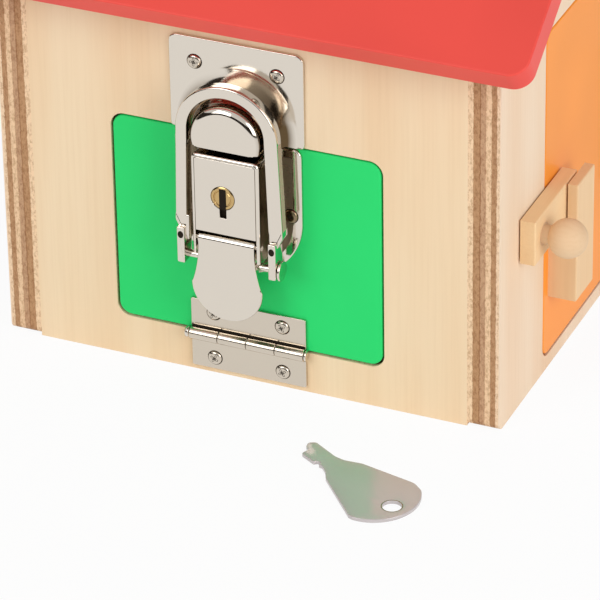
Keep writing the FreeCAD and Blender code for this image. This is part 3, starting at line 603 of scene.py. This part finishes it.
def eased(corners, radii, steps=6):
    """A closed outline whose corners are rounded.

    From a corner P the two sides run to A and B at a distance r / tan(half the corner's angle),
    and (1-t)^2 A + 2 t (1-t) P + t^2 B goes round between them.
    """
    corners = np.asarray(corners, float)
    to_last = np.roll(corners, 1, 0) - corners
    to_next = np.roll(corners, -1, 0) - corners
    lengths = [np.linalg.norm(v, axis=1, keepdims=True) for v in (to_last, to_next)]
    to_last, to_next = to_last / lengths[0], to_next / lengths[1]
    half = np.arccos(np.clip((to_last * to_next).sum(1, keepdims=True), -1, 1)) / 2
    radii = np.broadcast_to(np.asarray(radii, float).reshape(-1, 1), half.shape)
    reach = np.minimum(radii / np.maximum(np.tan(half), 1e-3), 0.49 * np.minimum(*lengths))
    t = np.linspace(0, 1, steps)[None, :, None]
    before, after = (corners + v * reach for v in (to_last, to_next))
    curve = ((1 - t) ** 2 * before[:, None] + 2 * t * (1 - t) * corners[:, None]
             + t ** 2 * after[:, None])
    return curve.reshape(-1, 2)


print("four eased corners make", len(eased([(0, 0), (9, 0), (9, 9), (0, 9)], 2.0)), "points")


# %% [markdown]
# Pins, knuckles and screw heads come off a lathe: a profile spun about an axis. They need only a
# profile of radius and height, and the arc helper gives its round stretches.

# %% Turn a profile


def turned(profile, seat, way, steps=40):
    """A turned piece: (radius, height) points spun about an axis through a seat, along a way out.

    With u and v square to the way w, a point is seat + r cos t u + r sin t v + h w.
    """
    way = np.asarray(way, float)
    u = np.array([0.0, 0.0, 1.0]) if abs(way[2]) < 0.9 else np.array([1.0, 0.0, 0.0])
    v = np.cross(way, u)
    t = np.linspace(0, 2 * np.pi, steps + 1)[:-1, None]
    profile = np.asarray(profile, float) * MM
    ring = np.cos(t) * u + np.sin(t) * v
    points = seat + profile[:, None, :1] * ring + profile[:, None, 1:] * way
    return points, grid_faces(len(profile), steps, closed_columns=True)


def bar_profile(radius, start, end, edge=0.3):
    """(radius, height) of a round bar with rounded ends."""
    drop = rim(edge)
    top = np.column_stack([radius - drop[:, 0], end - drop[:, 1]])
    low = np.column_stack([radius - drop[:, 0], start + drop[:, 1]])[::-1]
    return np.concatenate([[(1e-4, start)], low, top, [(1e-4, end)]])


def arc(centre, radius, start, end, steps):
    """Points c + r (cos t, sin t) from a start to an end angle in degrees."""
    t = np.radians(np.linspace(start, end, steps))
    return np.column_stack([centre[0] + radius * np.cos(t), centre[1] + radius * np.sin(t)])


print("a pin's profile has", len(bar_profile(1.0, 0.0, 10.0)), "points")


# %% [markdown]
# ## The bail
#
# The bail is a flat bar bent into a tall arch that hooks over the hump. Its section is a rectangle
# with generous round corners on the outside of the bend. The section is carried along the bend:
# every point of it keeps its place across the bar and out from the wall. The legs lean together
# towards the arch, and the picture shows the right one half a millimetre wider on each side.

# %% Bend the bail
BAR_BACK, BAR_FRONT = 6.2, 10.8
LEG_LOW, LEG_HIGH, ARCH_RISE = 65.0, 98.4, 15.65
LEG_MIDDLE = {-1: (-16.8, -16.0), 1: (17.2, 16.0)}
LEG_HALF = {-1: 2.0, 1: 2.5}


def bail_path(count=96):
    """Points up one leg, over the arch and down the other, and the way across the bar at each.

    A leg is a straight line between its two middles. The arch is (w cos t, h + rise sin t), where
    w runs from the left leg's place to the right one's.
    """
    climb = np.linspace(LEG_LOW, LEG_HIGH, 14)
    left, right = (np.column_stack([np.linspace(*LEG_MIDDLE[side], 14), climb]) for side in (-1, 1))
    top = arc((0.0, 0.0), 1.0, 180, 0, count)[1:-1]
    reach = np.interp(top[:, 0], [-1, 1], [-left[-1, 0], right[-1, 0]])
    top = np.column_stack([top[:, 0] * reach, LEG_HIGH + ARCH_RISE * top[:, 1]])
    points = np.concatenate([left, top, right[::-1]])
    tangent = np.gradient(points, axis=0)
    tangent /= np.linalg.norm(tangent, axis=1, keepdims=True)
    return points, np.column_stack([-tangent[:, 1], tangent[:, 0]])


def bar_section(width, back, front, outer, inner):
    """A bar's closed section: across and out, with a round outer front edge and a small inner one."""
    half = width / 2
    outside = arc((half - outer, front - outer), outer, 0, 90, 8)
    inside = arc((-half + inner, front - inner), inner, 90, 180, 5)
    back_in = arc((-half + 0.5, back + 0.5), 0.5, 180, 270, 4)
    back_out = arc((half - 1.1, back + 1.1), 1.1, 270, 360, 6)
    return np.concatenate([outside, inside, back_in, back_out])


path, across = bail_path()
width = np.interp(np.linspace(-1, 1, len(path)), [-1, 0.35, 0.8, 1.0],
                  [2 * LEG_HALF[-1], 4.0, 4.7, 2 * LEG_HALF[1]])
sections = np.stack([bar_section(w, BAR_BACK, BAR_FRONT, outer=0.65, inner=0.4) for w in width])
bar_x = LATCH_X + path[:, None, 0] + across[:, None, 0] * sections[..., 0]
bar_z = path[:, None, 1] + across[:, None, 1] * sections[..., 0]
bail_points = on_front(bar_x, sections[..., 1], bar_z)
bail_faces = grid_faces(*bar_x.shape, closed_columns=True)
ring = bar_x.shape[1]
bail_faces += [list(range(ring)), [(len(path) - 1) * ring + k for k in range(ring)]]
print("bail bar", width.min().round(1), "to", width.max().round(1), "mm wide")

# %% [markdown]
# Each leg ends in a foot with its outer corner cut away, and a lug stands on the leg's front. The
# lug takes the pin low down, and a hole is drilled near its top, drawn as a dark disc of painted
# shade. A leg's outer side looks duller than its front, so a dull brown strip lies on it: a painted
# reflection of the base plate that it mirrors.

# %% Add the feet, lugs and holes
FOOT_REACH = 19.7
LUG_FRONT = 12.4


def foot(side):
    """The end of a leg, its outer corner cut away, moved across until it meets the leg's side."""
    corners = [(14.9, 56.6), (16.4, 56.8), (FOOT_REACH + 0.05, 63.6), (FOOT_REACH, 66.0), (14.7, 66.0)]
    outline = eased(corners, [0.4, 1.0, 1.8, 0.2, 0.2]) * (side, 1)
    outline[:, 0] += side * (abs(LEG_MIDDLE[side][0]) + LEG_HALF[side] - FOOT_REACH)
    return stamped(outline + (LATCH_X, 0), BAR_BACK, BAR_FRONT - 0.01, 0.4, 0.3)


def lug(side):
    """The lug on a leg's front that takes the pin."""
    corners = [(15.1, 48.4), (17.8, 48.4), (17.8, 61.8), (15.1, 61.8)]
    outline = eased(corners, [0.4, 0.7, 0.4, 0.4]) * (side, 1)
    return stamped(outline + (LATCH_X, 0), BAR_BACK + 0.1, LUG_FRONT, 0.35, 0.3)


def drilled(side):
    """A drilled hole near the top of a lug as painted shade: a dark, slightly oval disc."""
    turn = np.linspace(0, 2 * np.pi, 25)[:-1]
    x = LATCH_X + side * 16.4 + 1.05 * np.cos(turn)
    return on_front(x, LUG_FRONT + 0.02, 59.0 + 1.35 * np.sin(turn)), [list(range(24))]


def leg_side(side):
    """The outer side of a leg, for a painted reflection: the leg's middle plus half the bar's width, at
    both ends.
    """
    halves = (LEG_HALF[side], LEG_HALF[side] - 0.15 * (side > 0))
    low, high = (LATCH_X + middle + side * (half + 0.02)
                 for middle, half in zip(LEG_MIDDLE[side], halves))
    corners = on_front(np.array([low, high, high, low]), np.array([7.3, 7.3, 10.1, 10.1]),
                       np.array([66.0, 98.0, 98.0, 66.0]))
    return corners, [[0, 1, 2, 3]]


piece("bail", nickel, "bail",
      [(bail_points, bail_faces), foot(-1), foot(1), lug(-1), lug(1)], replaces=("latch_bail",))
# Painted shade on the holes, and a painted reflection on the legs' outer sides.
piece("bail_hole_shade", painted_shade_black, "bail", [drilled(-1), drilled(1)])
piece("bail_side_reflection", painted_reflection_nickel, "bail", [leg_side(-1), leg_side(1)])

# %% [markdown]
# The pin runs through both lugs and the lever's ears, and has a round head on its right end.

# %% Turn the bail's pin
PIN_OUT, PIN_HEIGHT = 8.9, 50.6
pin_seat = on_front(LATCH_X, PIN_OUT, PIN_HEIGHT)
piece("bail_pin_turned", nickel, "lever",
      [turned(bar_profile(1.25, -17.8, 18.0), pin_seat, (1, 0, 0)),
       turned(bar_profile(3.5, 18.0, 19.0, 0.45), pin_seat, (1, 0, 0))], replaces=("bail_pin",))

# %% [markdown]
# ## The hump
#
# The strike plate is pressed into a hump that the bail hooks over. Its section, from the middle out,
# is a flat face, a soft round rim, a wall and a flare that runs out into the plate. The flare makes
# a cove between wall and plate, and its foot looks brown with the shade it mirrors, so painted shade
# turns the plating's colour browner there: three ramps on Object coordinates are multiplied, one down and
# two out.

# %% Paint shade into the cove
COVE_SHADE_RAMPS = (("Z", 0.117, 0.101), ("Y", -0.07625, -0.0768), ("Y", -0.0865, -0.0835))


def shade_the_cove(material, clean, brown):
    """Painted shade on a plating: the brown's share is the product of ramps from 0 at start to 1 at end.
    """
    tree = material.node_tree
    split = node(tree, "ShaderNodeSeparateXYZ")
    tree.links.new(on_piece(tree), split.inputs[0])
    shares = []
    for axis, start, end in COVE_SHADE_RAMPS:
        step = node(tree, "ShaderNodeMapRange")
        step.inputs["From Min"].default_value = start
        step.inputs["From Max"].default_value = end
        tree.links.new(split.outputs[axis], step.inputs["Value"])
        shares.append(step.outputs["Result"])
    share = maths(tree, "MULTIPLY", maths(tree, "MULTIPLY", *shares[:2]), shares[2])
    tree.links.new(mixed(tree, clean, brown, share), tree.nodes["Principled BSDF"].inputs["Base Color"])


# Painted shade: the cove's foot turns brown where it mirrors the shaded parts round it.
cove_painted_shade_nickel = plated("cove_painted_shade_nickel", NICKEL_TONE, 0.06, 0.16)
shade_the_cove(cove_painted_shade_nickel, NICKEL_TONE, (0.12, 0.078, 0.038))
print("a plating that turns brown by", len(COVE_SHADE_RAMPS), "ramps")

# %% [markdown]
# The section is swept through all angles about the hump's middle, and a ray that points down stops
# where it meets the plate's lower edge. The plate round it is a rectangle with round corners.

# %% Press the hump
HUMP_X, HUMP_Z, STRIKE_LOW = LATCH_X - 0.3, 96.2, 93.2
FACE_RADIUS, FACE_OUT, CROWN = 9.7, 12.0, 3.1
STRIKE_X, STRIKE_TOP, STRIKE_BOTTOM, STRIKE_ROUND = 21.0, 124.5, 95.0, 3.0
PLATE_THICK = 1.2


def hump_section():
    """(radius, out) from the middle to the plate: flat, quarter circle, wall, quarter ellipse."""
    flat = np.column_stack([np.linspace(0.0, FACE_RADIUS, 6), np.full(6, FACE_OUT)])
    crown = arc((FACE_RADIUS, FACE_OUT - CROWN), CROWN, 90, 4, 18)
    wall = np.column_stack([np.linspace(12.95, 13.2, 4), np.linspace(8.6, 7.4, 4)])
    turn = np.radians(np.linspace(180, 270, 18))
    flare = np.column_stack([23.4 + 10.2 * np.cos(turn), 7.0 + 5.85 * np.sin(turn)])
    return np.concatenate([flat, crown, wall, flare])


section = hump_section()
angles = np.radians(np.linspace(-90, 270, 181))
reach = np.where(np.sin(angles) < 0, (HUMP_Z - STRIKE_LOW) / np.maximum(-np.sin(angles), 1e-6), 99.0)
radius = np.minimum(section[None, :, 0], reach[:, None])
hump_x = HUMP_X + radius * np.cos(angles)[:, None]
hump_z = HUMP_Z + radius * np.sin(angles)[:, None]
hump_out = np.broadcast_to(section[:, 1], radius.shape)
hump = (on_front(hump_x, hump_out, hump_z), grid_faces(*radius.shape))
plate_line = np.concatenate([
    arc((side * STRIKE_X, z), STRIKE_ROUND, start, start + 90, 7) for side, z, start in
    ((1, STRIKE_TOP, 0), (-1, STRIKE_TOP, 90), (-1, STRIKE_BOTTOM, 180), (1, STRIKE_BOTTOM, 270))])
plate_line[:, 1] = np.maximum(plate_line[:, 1], STRIKE_LOW)
plate = stamped(plate_line + (LATCH_X, 0), 0.0, PLATE_THICK, 0.5)
piece("strike_hump", cove_painted_shade_nickel, "house", [hump, plate], replaces=("strike_plate",))

# %% [markdown]
# Cutting the hump off at the plate's lower edge leaves an open mouth, and a dark sheet of painted shade
# closes it, for the shade inside the hump.
# Its edge is the section itself: at each distance out, the half chord is sqrt(r^2 - d^2), with d the
# height of the hump's middle over the edge.

# %% Close the hump's mouth
half_chord = np.sqrt(np.maximum(section[:, 0] ** 2 - (HUMP_Z - STRIKE_LOW) ** 2, 0.0))
reached = half_chord > 0
mouth_x = HUMP_X + np.concatenate([-half_chord[reached][::-1], half_chord[reached]])
mouth_out = np.concatenate([section[reached, 1][::-1], section[reached, 1]]) - 0.05
mouth = on_front(mouth_x, mouth_out, STRIKE_LOW + 0.05)
# Painted shade: the dark sheet stands for the shade inside the hump.
piece("hump_mouth_shade", painted_shade_black, "house", [(mouth, [list(range(len(mouth)))])])

# %% [markdown]
# ## The case and its base
#
# The case is one folded sheet. Its hood is a section carried round an open outline: up one cheek,
# round two corners and down the other. The front plate lies inside the hood's rolled lip, with a
# fine groove between them, and the keyhole goes through it.

# %% Fold the case


def hood(outline, low, back, front, sheet, radius):
    """A sheet's section round an open outline, its front edge a quarter circle, its feet level."""
    section = [(0.0, back)] + [(d, front - below) for d, below in rim(radius, 7)]
    section += [(sheet, front - 0.1), (sheet, back)]
    rings = np.stack([ring_at(outline, distance, out) for distance, out in section])
    rings[:, [0, -1], 2] = low
    count = len(outline)
    faces = grid_faces(len(rings), count, closed_rows=True)
    faces += [[k * count + end for k in range(len(rings))] for end in (0, count - 1)]
    return on_front(*np.moveaxis(rings, -1, 0)), faces


SHEET, CASE_FRONT = 1.2, 12.2
CASE_HALF, CASE_TOP, CHEEK_LOW, CORNER = 12.2, 90.8, 53.2, 2.2
FRONT_LOW, LIP_AND_GROOVE = 62.0, 1.32
LOCK_X, LOCK_Z, LOCK_HOLE = -0.8, 75.8, 4.3
SLOT_LEFT, SLOT_RIGHT = -2.0, 0.4
hood_line = np.concatenate([
    [(-CASE_HALF, CHEEK_LOW)], arc((CORNER - CASE_HALF, CASE_TOP - CORNER), CORNER, 180, 90, 9),
    arc((CASE_HALF - CORNER, CASE_TOP - CORNER), CORNER, 90, 0, 9), [(CASE_HALF, CHEEK_LOW)]])
front_line = inset(hood_line, LIP_AND_GROOVE)
front_line[[0, -1], 1] = FRONT_LOW
keyhole = np.concatenate([arc((LOCK_X, LOCK_Z), LOCK_HOLE, -73.8, 253.8, 40),
                          [(SLOT_LEFT, 68.3), (SLOT_RIGHT, 68.3)]])
at_latch = (LATCH_X, 0.0)
piece("case_folded", nickel, "green_leaf",
      [hood(hood_line + at_latch, CHEEK_LOW, SHEET, CASE_FRONT, SHEET, 1.1)]
      + pierced(front_line + at_latch, keyhole + at_latch, CASE_FRONT - SHEET, CASE_FRONT, 0.2, on_front),
      replaces=("latch_case",))

# %% [markdown]
# The case's right cheek is deep in the bail's shade, and painted shade lies on it as a sheet of a darker
# copy of the plating. A dark sheet of painted shade behind the keyhole stands for the shade inside the
# case.

# %% Line the case


def sheet_of(corners, across=None, out=None):
    """One flat face: corners (across, up) at a distance out, or (out, up) at a place across."""
    corners = np.asarray(corners, float)
    if across is None:
        points = on_front(corners[:, 0] + LATCH_X, out, corners[:, 1])
    else:
        points = on_front(across + LATCH_X, corners[:, 0], corners[:, 1])
    return points, [list(range(len(corners)))]


cheek = [(1.25, 53.4), (10.9, 53.4), (10.9, 88.4), (1.25, 88.4)]
# Painted shade: the right cheek's sheet and the dark sheet behind the keyhole.
piece("case_cheek_shade", painted_shade_nickel, "green_leaf",
      [sheet_of(cheek, across=CASE_HALF + 0.02)])
piece("case_inside_shade", painted_shade_black, "green_leaf",
      [sheet_of([(-2.6, 67.6), (1.0, 67.6), (1.0, 71.8), (-2.6, 71.8)], out=10.6)])

# %% [markdown]
# The base plate is a shield: a box with round top corners on a half circle. Inside its bright rolled
# edge it looks dull and brown with the shaded back of the bail that it mirrors, and a sheet of painted
# shade lies there.

# %% Press the base plate
BASE_RADIUS, BASE_MIDDLE, BASE_ROUND, BASE_ROUND_Z = 22.8, 65.0, 3.0, 89.5
BRIGHT_EDGE = 3.2
base_x = BASE_RADIUS - BASE_ROUND
shield = np.concatenate([arc((base_x, BASE_ROUND_Z), BASE_ROUND, 0, 90, 8),
                         arc((-base_x, BASE_ROUND_Z), BASE_ROUND, 90, 180, 8),
                         arc((0.0, BASE_MIDDLE), BASE_RADIUS, 180, 360, 72)])
piece("base_pressed", nickel, "green_leaf",
      [stamped(shield + at_latch, 0.0, PLATE_THICK, 0.55)], replaces=("latch_base_plate",))
# Painted shade: a darker, browner sheet inside the plate's bright edge.
piece("base_painted_shade", painted_shade_base_nickel, "green_leaf",
      [sheet_of(inset(shield, BRIGHT_EDGE), out=PLATE_THICK + 0.02)])

# %% [markdown]
# The lock's brass face has a fine turned groove inside its raised rim, and the keyway is a dark slot
# of painted shade in it that runs on down through the case's front.

# %% Turn the lock
lock_seat = on_front(LATCH_X + LOCK_X, CASE_FRONT - 0.2, LOCK_Z)
lock_face = [(1e-4, 0.18), (2.7, 0.18), (2.85, 0.02), (3.1, 0.02), (3.25, 0.3), (3.85, 0.3),
             (4.15, 0.1), (4.15, -9.2), (1e-4, -9.2)]
piece("lock_turned", brass, "lock_core", [turned(lock_face, lock_seat, (0, -1, 0), 48)],
      replaces=("lock_cylinder",))
# Painted shade: a dark sheet stands for the shade in the keyway.
keyway = [(SLOT_LEFT, 71.5), (SLOT_RIGHT, 71.5), (SLOT_RIGHT, 79.2), (SLOT_LEFT, 79.2)]
piece("keyway", painted_shade_black, "lock_core", [sheet_of(keyway, out=CASE_FRONT + 0.12)])

# %% [markdown]
# ## Butt hinges
#
# Four hinges are the same, so each is drawn once, flat on a wall: a leaf, two knuckles turned about
# the pin, and a tab under each. The other leaf is the first one turned over, so that its knuckles
# fall in the gaps. A quarter turn stands the side hinges up, and each wall has its own place in the
# frame. A dark crease under the knuckles stands for the shade between barrel and leaf.

# %% Roll the hinges
LEAF_THICK, CREASE_OUT = 1.1, 1.11
KNUCKLE_STARTS, KNUCKLE_LONG, KNUCKLE_RADIUS = (-10.4, 10.6), 10.3, 2.2
BARREL_OUT = 1.85
HINGE_PLACES = {"front": (0.0, 15.2, 0), "back": (0.0, 15.2, 0),
                "right": (35.0, 67.0, -90), "left": (-35.0, 67.0, 90)}
HINGE_BODIES = {"front": "green_leaf", "back": "back_leaf", "right": "orange_leaf", "left": "left_leaf"}


def on_hinge(wall, flip):
    """A function that places a hinge's own (across, out, up) on a wall, turned over if asked."""
    middle, height, spin = HINGE_PLACES[wall]
    c, s = np.cos(np.radians(spin)), np.sin(np.radians(spin))

    def place(across, out, up):
        """Turn by the spin, move to the hinge's middle, then out to the wall's own side."""
        across, out, up = np.broadcast_arrays(*[np.asarray(v, float) for v in (across, out, up)])
        across, up = flip * across, flip * up
        x, z = middle + across * c + up * s, height - across * s + up * c
        sides = {"front": (x, -HALF_DEPTH - out), "back": (-x, HALF_DEPTH + out),
                 "right": (HALF_WIDTH + out, x), "left": (-HALF_WIDTH - out, -x)}
        return np.stack([*sides[wall], z], -1) * MM
    return place


def round_bar(place, profile):
    """A turned profile along the line of a hinge's pin."""
    seat = place(0.0, BARREL_OUT, 0.0)
    way = place(1.0, BARREL_OUT, 0.0) - seat
    return turned(profile, seat, way / np.linalg.norm(way), 28)


leaf_line = eased([(-21.0, 2.1), (21.0, 2.1), (21.0, 13.1), (-21.0, 13.1)], [0.3, 0.3, 0.7, 0.7])
for wall, body in HINGE_BODIES.items():
    for leaf, flip, rides in (("wall", -1, "house"), ("door", 1, body)):
        place = on_hinge(wall, flip)
        parts = [stamped(leaf_line, 0.0, LEAF_THICK, 0.2, place=place)]
        for start in KNUCKLE_STARTS:
            end = start + KNUCKLE_LONG
            tab = np.array([(start, 0.0), (end, 0.0), (end, 2.2), (start, 2.2)])
            parts += [round_bar(place, bar_profile(KNUCKLE_RADIUS, start, end, 0.25)),
                      stamped(tab, 0.0, LEAF_THICK, 0.1, place=place)]
        piece(f"hinge_{wall}_{leaf}_formed", satin_nickel, rides, parts,
              replaces=(f"hinge_{wall}_{leaf}_leaf",))
        crease = np.array([(-20.8, 2.0), (20.8, 2.0), (20.8, 3.0), (-20.8, 3.0)])
        piece(f"hinge_{wall}_{leaf}_crease", painted_shade_black, rides,
              [(place(crease[:, 0], CREASE_OUT, crease[:, 1]), [[0, 1, 2, 3]])])
    place = on_hinge(wall, 1)
    piece(f"hinge_{wall}_pin_turned", nickel, "house",
          [round_bar(place, bar_profile(0.9, -21.2, 21.2, 0.1)),
           round_bar(place, bar_profile(2.0, -22.9, -21.15, 0.9)),
           round_bar(place, bar_profile(2.0, 21.05, 21.9, 0.4))],
          replaces=(f"hinge_{wall}_pin",))

# %% [markdown]
# ## The lever
#
# The lever is a bell-shaped tongue whose top is rolled round its pin. Its outline is two concave
# flanks that end in a round foot.

# %% Roll the lever
ROLL_OUT, ROLL_HEIGHT, ROLL_HALF = 10.5, 58.7, 10.2
FLANK_RADIUS, WAIST_HEIGHT, TONGUE_RADIUS = 46.9, 57.0, 12.8


def bell_outline():
    """Right flank down, foot round, left flank up.

    A flank at height z is half the waist + R - sqrt(R^2 - (z - waist height)^2) from the middle.
    """
    height = np.linspace(ROLL_HEIGHT, 43.2, 14)
    flank = ROLL_HALF + FLANK_RADIUS - np.sqrt(FLANK_RADIUS ** 2 - (height - WAIST_HEIGHT) ** 2)
    right = np.column_stack([flank, height])
    bottom = arc((0.0, 42.2), TONGUE_RADIUS, 0, -180, 48)
    return np.concatenate([right, bottom, right[::-1] * (-1, 1)])


def ear(side):
    """A small cheek behind the lever that the bail's pin passes through."""
    middle = LATCH_X + side * 9.6
    outline = np.concatenate([arc((PIN_OUT + 0.3, PIN_HEIGHT), 2.4, -90, 0, 8),
                              [[11.6, ROLL_HEIGHT], [6.9, ROLL_HEIGHT]],
                              arc((PIN_OUT, PIN_HEIGHT), 2.0, 180, 270, 8)])
    rings = [on_front(x, outline[:, 0], outline[:, 1]) for x in (middle - 0.6, middle + 0.6)]
    count = len(outline)
    faces = grid_faces(2, count, closed_columns=True)
    faces += [list(range(count)), list(range(count, 2 * count))]
    return np.stack(rings), faces


tongue = stamped(bell_outline() + (LATCH_X, 0), 11.2, 12.6, 0.7, 0.3)
roll = turned(bar_profile(2.1, -ROLL_HALF, ROLL_HALF, 0.4), on_front(LATCH_X, ROLL_OUT, ROLL_HEIGHT),
              (1, 0, 0))
piece("lever", nickel, "lever", [tongue, roll, ear(-1), ear(1)], replaces=("latch_lever",))

# %% [markdown]
# ## Screws
#
# The CAD screws say where each head sits and which way it faces: every separate island of a screw
# node is one screw, long along its axis, and its head is on the side away from the house's middle.

# %% Find the screws
HEAD_SUNK = 1.4
SCREW_BODIES = {"carcass_screws": "house", "door_front_screws": "green_leaf",
                "door_right_screws": "orange_leaf", "door_left_screws": "left_leaf",
                "door_back_screws": "back_leaf"}


def screw_places(node_name):
    """(seat of the head, way out) for each island of a screw node, in metres and in mesh order."""
    mesh = bmesh.new()
    mesh.from_mesh(nodes[node_name].data)
    bmesh.ops.remove_doubles(mesh, verts=mesh.verts, dist=1e-6)
    seen, places = set(), []
    for first in mesh.verts:
        if first in seen:
            continue
        seen.add(first)
        island = [first]
        for vert in island:
            for edge in vert.link_edges:
                other = edge.other_vert(vert)
                if other not in seen:
                    seen.add(other)
                    island.append(other)
        points = np.array([vert.co[:] for vert in island])
        low, high = points.min(0), points.max(0)
        axis = int(np.argmax(high - low))
        way = np.zeros(3)
        way[axis] = np.sign((low + high)[axis])
        seat = (low + high) / 2 + way * ((high - low)[axis] / 2 - HEAD_SUNK * MM)
        places.append((seat, way))
    mesh.free()
    return places


screws = {name: screw_places(name) for name in SCREW_BODIES}
print({name: len(places) for name, places in screws.items()}, "screws")

# %% [markdown]
# A head is turned again as a low pillow, h = H cos(a) at r = R sin(a)^0.5. A dark cross of painted
# shade lies on it for the recess, and a dark line of painted shade runs round its foot. Each cross
# stands at its own angle, as screws driven by hand do. The heads beside the latch's case sit in its
# shade, and painted shade gives them a darker copy of the plating.

# %% Turn the screw heads
HEAD_RADIUS, HEAD_HIGH = 2.5, 0.95
CROSS_LONG, CROSS_THIN = 1.45, 0.42
FIRST_TWIST, TWIST_STEP = 0.5, 2.1


def dome(radius):
    """The height of the dome at a radius."""
    return HEAD_HIGH * (1 - (radius / HEAD_RADIUS) ** 4) ** 0.5


def cross(seat, way, twist):
    """A four-armed cross of painted shade for the recess, lying just over the dome, turned by an angle.
    """
    quarter = np.array([(CROSS_THIN, CROSS_THIN), (CROSS_THIN, CROSS_LONG * 0.6),
                        (CROSS_THIN * 0.75, CROSS_LONG), (-CROSS_THIN * 0.75, CROSS_LONG),
                        (-CROSS_THIN, CROSS_LONG * 0.6)])
    outline, spin = [], np.array([[0.0, -1.0], [1.0, 0.0]])
    for _ in range(4):
        outline.append(quarter)
        quarter = quarter @ spin
    flat = np.concatenate(outline)
    turn = np.array([[np.cos(twist), -np.sin(twist)], [np.sin(twist), np.cos(twist)]])
    flat = flat @ turn
    u = np.array([0.0, 0.0, 1.0])
    v = np.cross(way, u)
    height = dome(np.linalg.norm(flat, axis=1)) + 0.02
    points = seat + MM * (flat[:, :1] * u + flat[:, 1:] * v + height[:, None] * way)
    middle = seat + MM * (HEAD_HIGH + 0.02) * way
    count = len(flat)
    return np.vstack([points, middle]), [[k, (k + 1) % count, count] for k in range(count)]


lean = np.radians(np.linspace(0, 90, 14))
head = np.column_stack([HEAD_RADIUS * np.sin(lean) ** 0.5, HEAD_HIGH * np.cos(lean)])
head[0, 0] = 1e-4
screw_profile = np.concatenate([head, [(1.1, 0.0), (1.1, -6.4), (1e-4, -6.4)]])


def beside_case(seat):
    """Whether a head sits on the green side between 60 and 80 mm up, beside the latch's case."""
    return seat[1] < -0.07 and 0.06 < seat[2] < 0.08


for name, body in SCREW_BODIES.items():
    places = screws[name]
    heads = {True: [], False: []}
    for seat, way in places:
        heads[beside_case(seat)].append(turned(screw_profile, seat, way, 28))
    piece(name + "_turned", satin_nickel, body, heads[False], replaces=(name,))
    if heads[True]:
        piece(name + "_in_shade", painted_shade_nickel, body, heads[True])
    # Painted shade: a dark cross for each recess and a dark ring round each head's foot.
    piece(name + "_cross_shade", painted_shade_black, body,
          [cross(seat, way, FIRST_TWIST + TWIST_STEP * k) for k, (seat, way) in enumerate(places)]
          + [turned([(2.4, 0.05), (2.72, 0.05)], seat, way, 28) for seat, way in places])

# %% [markdown]
# ## The key
#
# The key is stamped from sheet: a notched blade, a waist and a broad round bow with a hole. The
# outline is a few corners, each with its own rounding, and one arc.

# %% Stamp the key
BOW_X, BOW_RADIUS = 34.9, 15.4
KEY_TURN = -29.5
KEY_X, KEY_Y, KEY_THICK = 36.4, -HALF_DEPTH - 34.8, 1.3
KEY_HOLE, KEY_HOLE_RADIUS = (44.2, 0.0), 3.15


def on_ground(along, height, side):
    """Points of the key, which lies turned on the ground: (x, y) = tip + R (along, side)."""
    turn = np.radians(KEY_TURN)
    x = KEY_X + along * np.cos(turn) - side * np.sin(turn)
    y = KEY_Y + along * np.sin(turn) + side * np.cos(turn)
    return np.stack(np.broadcast_arrays(x, y, height), -1) * MM


blade = [(39.6, -14.3), (17.6, -6.6), (14.2, -4.2), (10.9, -3.0), (9.6, -3.4), (9.3, -2.3), (7.6, -2.4),
         (7.2, -3.7), (0.5, -3.6), (0.0, -0.5), (-2.0, 0.3), (-3.4, 2.2), (-1.9, 4.4), (9.0, 4.0),
         (12.6, 4.9), (18.0, 8.3), (38.0, 14.3)]
easing = [0.9, 1.5, 2.5, 0.6, 0.3, 0.7, 0.7, 0.5, 1.0, 0.5, 0.4, 1.2, 1.5, 6.0, 6.0, 5.0, 5.0]
bow = arc((BOW_X, 0.0), BOW_RADIUS, 60, -66, 40)
key_outline = eased(np.concatenate([blade, bow]), easing + [1.0] * len(bow), 4)
key_hole = arc(KEY_HOLE, KEY_HOLE_RADIUS, 0, 360, 41)[:-1]
piece("key_stamped", key_steel, "loose_key",
      pierced(key_outline, key_hole, 0.0, KEY_THICK, 0.22, on_ground), replaces=("key",))
# Painted shade: a ring of darker plating round the rim of the key's hole.
edge_line = np.concatenate([arc(KEY_HOLE, KEY_HOLE_RADIUS + wider, 0, 360, 41)[:-1]
                            for wider in (0.2, 0.47)])
piece("key_hole_shade_ring", painted_shade_nickel, "loose_key",
      [(on_ground(edge_line[:, 0], KEY_THICK + 0.02, edge_line[:, 1]),
        grid_faces(2, 40, closed_columns=True))])
